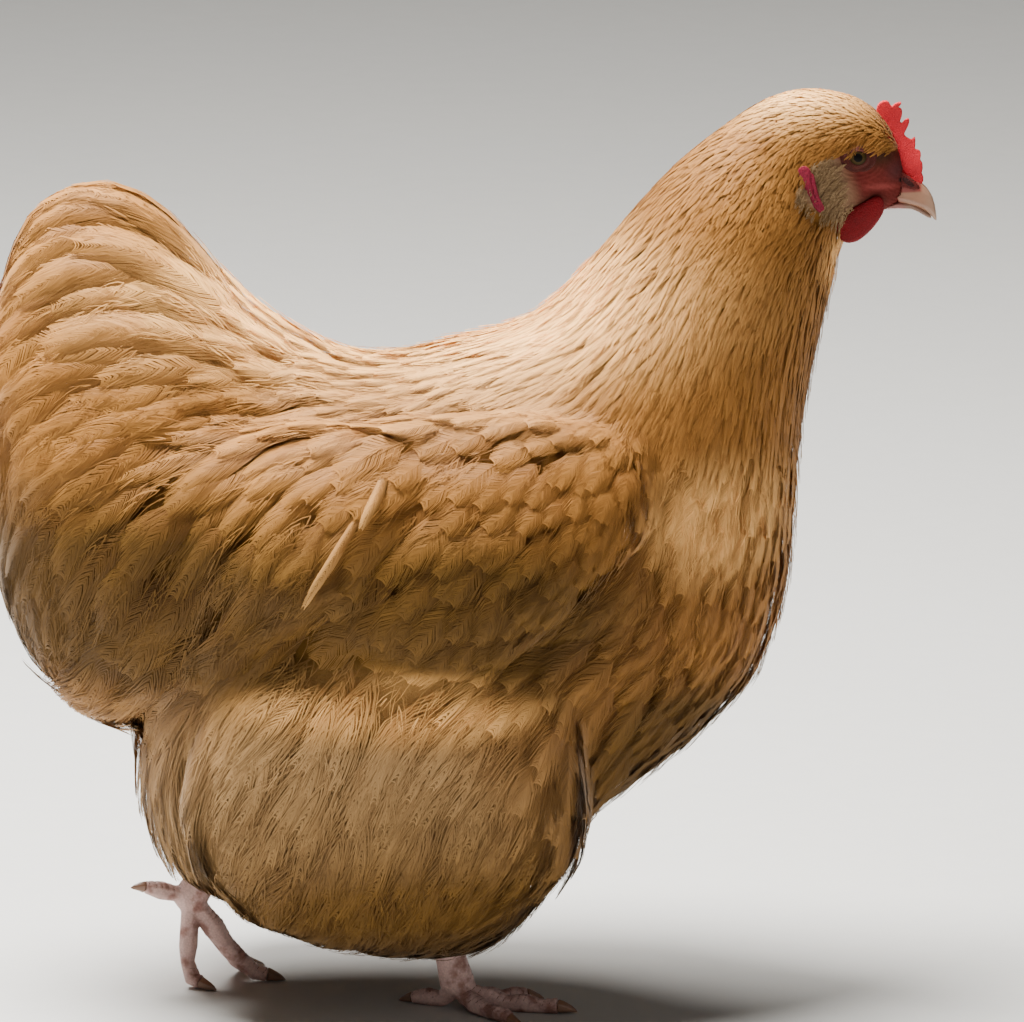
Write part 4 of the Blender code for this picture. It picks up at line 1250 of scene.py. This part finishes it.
def bands(rings, around):
    """The four-sided faces between closed rings of points, numbered ring by ring."""
    faces = []
    for k in range(rings - 1):
        for j in range(around):
            near = (j + 1) % around
            faces.append((k * around + j, k * around + near, (k + 1) * around + near, (k + 1) * around + j))
    return faces


def looped(corners, count):
    """A smooth closed line of this many points through the corners."""
    corners = np.array(corners, float)
    at = np.arange(count) * len(corners) / count
    low, part = at.astype(int), (at % 1)[:, None]
    a, b, c, d = (corners[(low + k) % len(corners)] for k in (-1, 0, 1, 2))
    square, cube = 2 * a - 5 * b + 4 * c - d, 3 * b - a - 3 * c + d
    return 0.5 * (2 * b + (c - a) * part + square * part**2 + cube * part**3)


# A flap is rings of its outline, shrunk to these shares: inward from its edge, on both sides.
FLAP_RIMS = (1.0, 0.985, 0.94, 0.86, 0.72, 0.5, 0.25, 0.06)
FLAP_AROUND = 40


def flap(corners, middle, thick, out, lean, side):
    """A soft flap of skin: its outline and middle in X and Z, its thickness, how far out it is, its lean."""
    edge, middle = looped(corners, FLAP_AROUND), np.array(middle, float)
    rims = [(rim, 1) for rim in FLAP_RIMS[::-1]] + [(rim, -1) for rim in FLAP_RIMS[1:]]
    points = []
    for rim, face in rims:
        swell = face * thick / 2 * math.sqrt(1 - rim**2)
        for x, z in middle + (edge - middle) * rim:
            points.append((x * MM, side * (out + lean * (z - middle[1]) + swell) * MM, z * MM))
    ends = [tuple(range(FLAP_AROUND)), tuple(range(len(points) - FLAP_AROUND, len(points)))]
    return points, bands(len(rims), FLAP_AROUND) + ends


def merged(pieces):
    """Several (points, faces) as one."""
    points, faces = [], []
    for some, corners in pieces:
        faces += [tuple(len(points) + k for k in corner) for corner in corners]
        points += some
    return points, faces


class HEN_OT_eyes(bpy.types.Operator):
    """The eyeballs, and the lids round them"""

    bl_idname = "hen.eyes"
    bl_label = "Eyes"

    def execute(self, context):
        finish = eye_finish()
        # The lids' skin, darkened in part as painted shade from the brow.
        folds = fleshy_finish("lid_skin", tuple(context.scene.hen_head.lid), 1500.0, 0.6)
        for name, side in SIDES.items():
            centre = eye_centre(side)
            low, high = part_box("eye_" + name)
            radius = (high.x - low.x) / 2
            bpy.ops.object.select_all(action="DESELECT")
            bpy.ops.mesh.primitive_uv_sphere_add(
                segments=64, ring_count=32, radius=radius, location=centre, rotation=(math.pi / 2, 0, 0)
            )
            ball = context.active_object
            bpy.ops.object.transform_apply(location=True, rotation=True, scale=True)
            bpy.ops.object.shade_smooth()
            ball.name = ball.data.name = "eyeball_" + name
            finished(ball, finish, ["eye_" + name])
            finished(solid_of("lids_" + name, *self.lids(centre, radius, side)), folds)
        return {"FINISHED"}

    def lids(self, eye, radius, side):
        """A ring of folds round the eye: its inner lip lies on the ball, and its rim sinks into the face."""
        face = tree_of(bpy.data.objects["skin"].data)
        reach = bpy.context.scene.hen_head.opening / 2
        points = []
        for wide, lift, share in LID_RINGS:
            for j in range(LID_AROUND):
                turn = 2 * math.pi * j / LID_AROUND
                way = Vector((math.cos(turn), 0, math.sin(turn)))
                opening = Vector((reach * way.x, 0, reach * (LID_TOP if way.z > 0 else LID_BOTTOM) * way.z))
                start = eye + opening + way * (LID_RINGS[-1][0] * MM)
                hit = face.ray_cast(start + Vector((0, side * 0.03, 0)), Vector((0, -side, 0)))[0]
                lip = math.sqrt(radius**2 - opening.length_squared)
                place = eye + opening + way * (wide * (1 - 0.55 * max(way.z, 0)) * MM)
                room = max(radius**2 - (place.x - eye.x) ** 2 - (place.z - eye.z) ** 2, 0)
                flat = lip + share * (abs(hit.y) - abs(eye.y) - lip)
                place.y += side * (max(flat, math.sqrt(room) + 0.15 * MM) + lift * MM)
                points.append(place)
        return points, bands(len(LID_RINGS), LID_AROUND)


# The lids' rings, from the lip outward: millimetres beyond the opening, their lift, and how far each has left
# the ball for the face.
LID_RINGS = [
    (-0.5, -0.6, 0.0),
    (-0.15, 0.05, 0.0),
    (0.1, 0.3, 0.0),
    (0.45, 0.4, 0.08),
    (0.9, 0.3, 0.24),
    (1.3, 0.0, 0.42),
    (1.8, 0.25, 0.64),
    (2.4, 0.2, 0.84),
    (2.9, 0.0, 0.94),
    (3.5, 0.15, 1.0),
    (4.2, -0.05, 1.0),
    (4.9, -0.9, 1.0),
]
LID_AROUND = 64
LID_TOP, LID_BOTTOM = 0.70, 0.90  # the opening's half height above and below the eye, as a share of its reach


def eye_finish():
    settings = bpy.context.scene.hen_head
    finish = Finish("eye", Roughness=0.4, Specular_IOR_Level=0.06)
    centre = eye_centre()
    x, _, z = finish.parts(finish.place())
    across, up = (x - centre.x) / MM, (z - centre.z) / MM
    far = (across * across + up * up) ** 0.5
    rays = finish.vector(up.maths("ARCTAN2", up, across) * 5.0, far * 0.25, 0.0)
    fibre = finish.noise(rays, 2.6, 2.0)
    iris = finish.scaled(tuple(settings.iris), (0.55 + 0.9 * fibre) * (0.6 + 0.6 * far.ramp(4.2, 2.6)))
    shade = finish.mix(far.ramp(4.05, 4.45), iris, (0.035, 0.02, 0.012))
    finish.set("Base Color", finish.mix(far.ramp(2.25, 2.0), shade, (0.003, 0.002, 0.002)))
    return finish.material


def fleshy_finish(name, shade, grain, gloss=0.42):
    """Bare red skin with a fine grain."""
    fixed = {"Subsurface_Weight": 0.12, "Subsurface_Scale": 0.002, "Subsurface_Radius": (1.0, 0.25, 0.2)}
    finish = Finish(name, Roughness=gloss, Specular_IOR_Level=0.15, **fixed)
    place = finish.place()
    pebbles = finish.cells(place, grain)
    blotch = finish.noise(place, 130.0, 3.0)
    red = finish.mix(blotch, tuple(c * 0.68 for c in shade), tuple(min(c * 1.3, 1.0) for c in shade))
    finish.set("Base Color", finish.scaled(red, 1.12 - 0.35 * pebbles))
    finish.set("Roughness", gloss + 0.2 * blotch)
    finish.bump(1.0 - pebbles, 0.0005, 0.6)
    return finish.material


class HEN_OT_comb(bpy.types.Operator):
    """The single comb with its points"""

    bl_idname = "hen.comb"
    bl_label = "Comb"

    def execute(self, context):
        edge = looped(COMB_EDGE, len(COMB_EDGE) * 4) * MM
        made = solid_of("comb_blade", [(x, 0, z) for x, z in edge], [tuple(range(len(edge)))])
        apply(made, "SOLIDIFY", thickness=COMB_THICK, offset=0.0)
        softened(made, 0.00042, 7)
        points = places(made.data)
        base = np.array(COMB_EDGE[COMB_BASE:]) * MM
        far = np.linalg.norm(points[:, None, [0, 2]] - base[None], axis=-1).min(1) / COMB_TAPER
        points[:, 1] *= 1.15 - 0.6 * np.clip(far, 0, 1)
        points[:, 1] += COMB_WAVE * np.sin(points[:, 2] / 0.0048) * np.clip(far - 0.2, 0, 1)
        move_to(made.data, points)
        made.data.shade_smooth()
        finish = fleshy_finish("comb_skin", tuple(context.scene.hen_head.comb), 1500.0)
        finished(made, finish, ["comb"])
        return {"FINISHED"}


COMB_THICK = 0.0036
COMB_TAPER = 0.011  # how far from its base the comb is at its thinnest
COMB_WAVE = 0.0008  # how far the blade bends to either side
# The comb's outline in X and Z: the rounded lobe behind, the points, and from COMB_BASE on the base.
COMB_EDGE = [
    (203.6, 438.6), (203.0, 441.0), (203.6, 443.4), (205.2, 445.2), (207.2, 445.8), (208.9, 445.2),
    (210.3, 443.0), (211.8, 444.2), (213.6, 445.0), (215.2, 445.1), (214.6, 443.6), (213.6, 442.6),
    (213.0, 441.4), (214.4, 442.3), (215.4, 441.2), (215.4, 438.6), (214.6, 435.6), (214.9, 434.3),
    (216.8, 436.2), (218.4, 437.0), (219.0, 435.8), (218.3, 432.8), (216.7, 429.8), (216.9, 428.3),
    (218.8, 427.0), (220.2, 426.4), (221.4, 427.8), (222.0, 426.4), (221.9, 423.8), (221.8, 421.8),
    (223.2, 421.6), (224.4, 420.6), (224.6, 418.6), (224.3, 416.6), (225.3, 415.2), (225.5, 412.2),
    (225.1, 410.2), (225.9, 407.8), (225.4, 405.2), (222.8, 402.8), (219.8, 404.6), (216.4, 408.6),
    (211.8, 415.0), (209.6, 421.5), (208.4, 426.5), (206.4, 431.5), (204.6, 435.0),
]
COMB_BASE = 40


class HEN_OT_wattles(bpy.types.Operator):
    """The wattles under the bill and the earlobes behind the cheeks"""

    bl_idname = "hen.wattles"
    bl_label = "Wattles and earlobes"

    def execute(self, context):
        finish = fleshy_finish("wattle_skin", tuple(context.scene.hen_head.wattle), 1300.0, 0.5)
        lobe_finish = fleshy_finish("earlobe_skin", tuple(context.scene.hen_head.lobe), 1300.0, 0.5)
        for name, side in SIDES.items():
            wattle = flap(WATTLE_EDGE, WATTLE_MIDDLE, 5.0, 10.6, 0.10, side)
            finished(solid_of("wattle_flap_" + name, *wattle), finish, ["wattle_" + name])
            folds = [flap(edge, middle, 1.5, out, 0.02, side) for edge, middle, out in EARLOBE_FOLDS]
            lobe = solid_of("earlobe_folds_" + name, *merged(folds))
            finished(lobe, lobe_finish, ["earlobe_" + name])
        return {"FINISHED"}


# Outlines and middles in X and Z, and for the earlobe's folds how far out each lies.
WATTLE_MIDDLE = (195.5, 389.0)
WATTLE_EDGE = [
    (204.6, 401.0), (206.6, 398.4), (206.6, 393.6), (203.4, 387.6), (198.6, 382.0), (193.4, 378.2),
    (188.0, 377.8), (184.6, 381.4), (183.4, 386.6), (184.8, 390.8), (190.4, 394.8), (196.4, 397.6),
    (201.4, 400.6),
]
EARLOBE_OUTER = [
    (164.6, 413.4), (165.6, 417.4), (168.8, 418.4), (171.2, 415.8), (171.6, 410.2), (173.6, 402.2),
    (176.4, 397.2), (175.6, 395.6), (172.8, 398.2), (170.2, 404.2), (166.6, 409.2),
]
EARLOBE_INNER = [
    (171.0, 414.6), (172.6, 414.0), (174.0, 408.6), (175.6, 402.6), (177.8, 397.8), (176.4, 396.4),
    (174.2, 400.6), (172.6, 405.6), (171.2, 410.4),
]
EARLOBE_FOLDS = [(EARLOBE_OUTER, (170.0, 409.0), 24.0), (EARLOBE_INNER, (173.6, 406.4), 23.7)]


class HEN_OT_bill(bpy.types.Operator):
    """The bill, and the flaps over its nostrils"""

    bl_idname = "hen.bill"
    bl_label = "Bill"

    def execute(self, context):
        finish = bill_finish()
        for part in ("upper", "lower"):
            made = copy_of("beak_" + part, ["bill_" + part])
            softened(made, 0.0004, 8)
            apply(made, "DISPLACE", strength=0.0003, mid_level=0.0)
            if part == "lower":
                self.close(made.data)
            made.data.shade_smooth()
            finished(made, finish, ["bill_" + part])
        skin = fleshy_finish("cere_skin", tuple(context.scene.hen_head.face), 1500.0, 0.5)
        dark = fleshy_finish("nostril_skin", tuple(context.scene.hen_head.nostril), 1800.0, 0.6)
        for name, side in SIDES.items():
            mound = flap(CERE_EDGE, CERE_MIDDLE, 4.6, 3.3, 0.1, side)
            finished(solid_of("cere_" + name, *mound), skin)
            covers = flap(NOSTRIL_EDGE, NOSTRIL_MIDDLE, 1.6, 5.2, 0.2, side)
            finished(solid_of("nostril_flap_" + name, *covers), dark)
        return {"FINISHED"}

    def close(self, mesh):
        """Carries the lower bill forward and up along the upper one, so that the mouth is shut."""
        points = places(mesh)
        points[:, 0] = 0.2 + (points[:, 0] - 0.2) * 1.1
        points[:, 2] += np.interp(points[:, 0] / MM, *BILL_RISE) * MM
        move_to(mesh, points)


# How far the lower bill is moved up to meet the upper one: X, and the rise there.
BILL_RISE = ((200, 208, 214, 220, 224, 228, 231), (0.0, 0.6, 1.2, 1.3, 0.2, -1.6, -2.8))
CERE_MIDDLE, NOSTRIL_MIDDLE = (216.0, 406.0), (219.0, 406.2)
CERE_EDGE = [
    (207.0, 406.5), (209.5, 411.0), (213.0, 412.4), (217.5, 410.0), (222.0, 406.6), (224.0, 403.4),
    (222.0, 401.8), (216.0, 401.4), (210.0, 402.4),
]
NOSTRIL_EDGE = [
    (215.4, 408.6), (217.4, 408.8), (219.8, 407.0), (221.4, 404.6), (219.8, 404.0), (217.6, 405.4),
    (216.0, 407.0),
]


def bill_finish():
    settings = bpy.context.scene.hen_head
    finish = Finish("bill", Roughness=0.35, Coat_Weight=0.12, Coat_Roughness=0.25)
    place = finish.place()
    x, y, z = finish.parts(place)
    grain = finish.noise(finish.vector(x * 0.25, y, z), 700.0, 3.0)
    horn = finish.scaled(tuple(settings.horn), 0.86 + 0.28 * grain)
    # Below the gape line the horn is darker: painted shadow of the upper bill's edge over the lower bill.
    gape = 0.3985 - (x - 0.206) * 0.27 - ((x - 0.206) / 0.026) ** 4.0 * 0.0042
    below = (z - gape) / MM
    horn = finish.mix(below.ramp(1.4, -0.4) * 0.75, horn, (0.13, 0.06, 0.035))
    tip = (x / MM).ramp(224.0, 233.0)
    horn = finish.mix(tip * 0.4, horn, (0.66, 0.47, 0.34))
    root = (x / MM + 0.55 * (z / MM - 400.0)).ramp(216.5, 211.5)
    over = (z / MM).ramp(401.0, 402.2) * (x / MM).ramp(225.6, 224.0)
    horn = finish.mix((root * 0.7 + over).clipped() * 0.92, horn, (0.22, 0.035, 0.03))
    finish.set("Base Color", horn)
    finish.set("Roughness", 0.28 + 0.2 * grain)
    finish.bump(grain, 0.0002, 0.3)
    return finish.material


def bristle_finish():
    finish = Finish("bristles", Roughness=0.7, Specular_IOR_Level=0.2)
    tint = finish.parts(finish.attribute("feather")["Vector"])[0]
    grain = finish.noise(finish.place(), 300.0) * 0.5 + 0.25 + 0.25 * tint
    finish.set("Base Color", finish.mix(grain.clipped(), (0.11, 0.058, 0.022), (0.36, 0.23, 0.115)))
    return finish.material


class HEN_OT_feet(bpy.types.Operator):
    """The shanks and feet with their scales"""

    bl_idname = "hen.feet"
    bl_label = "Feet"

    def execute(self, context):
        finish = leg_finish()
        for name in SIDES:
            made = copy_of("leg_skin_" + name, ["shank_" + name, "foot_" + name])
            softened(made, 0.0007, 5)
            mesh = made.data
            plates = self.plates(mesh, name)
            move_to(mesh, places(mesh) + directions(mesh) * (plates * PLATE_HEIGHT)[:, None])
            write(mesh.attributes.new("plate", "FLOAT", "POINT").data, "value", plates)
            mesh.shade_smooth()
            finished(made, finish, ["shank_" + name, "foot_" + name])
        return {"FINISHED"}

    def plates(self, mesh, name):
        """How far each point stands out: plates down the shank's front and along the tops of the toes."""
        scute = bpy.context.scene.hen_legs.scute
        points, normals = places(mesh), directions(mesh)
        low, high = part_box("shank_" + name)
        ball = np.array([(low.x + high.x) / 2, (low.y + high.y) / 2, low.z + 0.006])
        far = np.linalg.norm(points - ball, axis=1)
        shank = smoothstep(points[:, 2] - ball[2], 0.004, 0.014)
        front = smoothstep(normals[:, 0], -0.1, 0.45)
        top = smoothstep(normals[:, 2], 0.1, 0.6)
        share = np.where(shank > 0.5, front, top)
        saw = (far / scute) % 1
        band = np.minimum(saw, 1 - saw) * 2
        broad = 1 - np.exp(-((band / 0.22) ** 2)) + 0.5 * (1 - saw)
        return share * (broad - 0.6)


PLATE_HEIGHT = 0.00035


def leg_finish():
    settings = bpy.context.scene.hen_legs
    finish = Finish("leg_skin", Roughness=0.5, Specular_IOR_Level=0.4)
    place = finish.place()
    plate = Number(finish, finish.attribute("plate")["Fac"])
    blotch = finish.noise(place, 120.0, 3.0)
    grain = finish.cells(place, 900.0)
    skin = finish.mix(blotch.ramp(0.48, 0.68), tuple(settings.skin), (0.34, 0.17, 0.14))
    skin = finish.mix(plate.ramp(0.05, -0.45), skin, tuple(settings.crease))
    finish.set("Base Color", finish.scaled(skin, 1.1 - 0.3 * grain))
    finish.set("Roughness", 0.42 + 0.25 * blotch)
    finish.bump(1.0 - grain, 0.0003, 0.4)
    return finish.material


class HEN_OT_claws(bpy.types.Operator):
    """The claws"""

    bl_idname = "hen.claws"
    bl_label = "Claws"

    def execute(self, context):
        horn = tuple(c * 0.8 for c in context.scene.hen_head.horn)
        finish = Finish("claws", Roughness=0.35, Coat_Weight=0.2)
        grain = finish.noise(finish.place(), 500.0, 2.0)
        shade = finish.mix(grain, (0.24, 0.13, 0.08), horn)
        finish.set("Base Color", shade)
        finish.bump(grain, 0.0002, 0.3)
        for name in SIDES:
            nodes = ["claw_%s_%s" % (toe, name) for toe in ("inner", "middle", "outer", "hind")]
            made = copy_of("claws_" + name, nodes)
            softened(made, 0.0004, 4)
            made.data.shade_smooth()
            finished(made, finish.material, nodes)
        return {"FINISHED"}


class HEN_OT_stage(bpy.types.Operator):
    """The floor, the soft light and the camera"""

    bl_idname = "hen.stage"
    bl_label = "Stage"

    def execute(self, context):
        settings = context.scene.hen_stage
        bpy.ops.object.select_all(action="DESELECT")
        bpy.ops.mesh.primitive_plane_add(size=12.0, location=(0, 0, -0.0002))
        floor = context.active_object
        floor.name = "floor"
        finish = Finish("floor", Roughness=0.7)
        speck = finish.noise(finish.place(), 60.0, 4.0)
        finish.set("Base Color", finish.scaled(tuple(settings.floor), 0.97 + 0.06 * speck))
        floor.data.materials.append(finish.material)
        world = bpy.data.worlds.new("studio")
        context.scene.world = world
        world.use_nodes = True
        sky = world.node_tree.nodes["Background"].inputs
        sky["Color"].default_value = SKY_TINT
        sky["Strength"].default_value = settings.sky
        for light in LIGHTS:
            self.place_light(light, settings.key * light.share)
        turn = settings.elevation
        back = Vector((0, -math.cos(turn), math.sin(turn)))
        bpy.ops.object.camera_add(location=CAMERA_TARGET + back * settings.distance)
        camera = context.active_object
        camera.name = "camera"
        camera.rotation_euler = (math.pi / 2 - turn, 0, 0)
        camera.data.lens = settings.lens
        camera.data.sensor_width = 36.0
        camera.data.clip_start, camera.data.clip_end = 0.05, 50.0
        context.scene.camera = camera
        return {"FINISHED"}

    def place_light(self, light, power):
        bpy.ops.object.light_add(type="AREA", location=light.place)
        lamp = bpy.context.active_object
        lamp.name = light.name
        lamp.rotation_euler = (LIGHT_TARGET - Vector(light.place)).to_track_quat("-Z", "Y").to_euler()
        lamp.data.shape = "DISK"
        lamp.data.size, lamp.data.energy, lamp.data.color = light.size, power, light.shade


CAMERA_TARGET, LIGHT_TARGET = Vector((0.0276, 0.0, 0.2428)), Vector((0, 0, 0.22))
SKY_TINT = (0.93, 0.96, 1.0, 1.0)
Light = namedtuple("Light", "name place size share shade")  # share is of the key light's power
LIGHTS = [
    Light("key", (-0.45, -0.12, 1.9), 1.0, 1.0, (1.0, 0.985, 0.96)),
    Light("fill", (0.9, -1.9, 1.2), 1.6, 0.035, (1.0, 0.97, 0.93)),
    Light("rim", (-0.7, 0.8, 1.7), 0.9, 0.3, (1.0, 0.98, 0.95)),
]


STEPS = [
    HEN_OT_skin,
    HEN_OT_eyes,
    HEN_OT_comb,
    HEN_OT_wattles,
    HEN_OT_bill,
    HEN_OT_feet,
    HEN_OT_claws,
    HEN_OT_fluff,
    HEN_OT_breast,
    HEN_OT_tail,
    HEN_OT_wings,
    HEN_OT_saddle,
    HEN_OT_plumes,
    HEN_OT_hackle,
    HEN_OT_head_feathers,
    HEN_OT_wisps,
    HEN_OT_stage,
]


class HEN_PT_panel(bpy.types.Panel):
    """Lists the hen's pieces and their settings"""

    bl_idname = "HEN_PT_panel"
    bl_label = "Buff Hen"
    bl_space_type = "VIEW_3D"
    bl_region_type = "UI"
    bl_category = "Hen"

    def draw(self, context):
        for step in STEPS:
            self.layout.operator(step.bl_idname)
        for key in GROUPS:
            box = self.layout.box()
            group = getattr(context.scene, key)
            for name in group.bl_rna.properties.keys():
                if name not in ("rna_type", "name"):
                    box.prop(group, name)


GROUPS = {"hen_plumage": HenPlumage, "hen_head": HenHead, "hen_legs": HenLegs, "hen_stage": HenStage}


def register():
    for cls in [*GROUPS.values(), *STEPS, HEN_PT_panel]:
        bpy.utils.register_class(cls)
    for key, group in GROUPS.items():
        setattr(bpy.types.Scene, key, bpy.props.PointerProperty(type=group))


def unregister():
    for key in GROUPS:
        delattr(bpy.types.Scene, key)
    for cls in [HEN_PT_panel, *STEPS, *GROUPS.values()]:
        bpy.utils.unregister_class(cls)


def main():
    register()
    for step in STEPS:
        group, name = step.bl_idname.split(".")
        getattr(getattr(bpy.ops, group), name)()


if __name__ == "__main__":
    main()
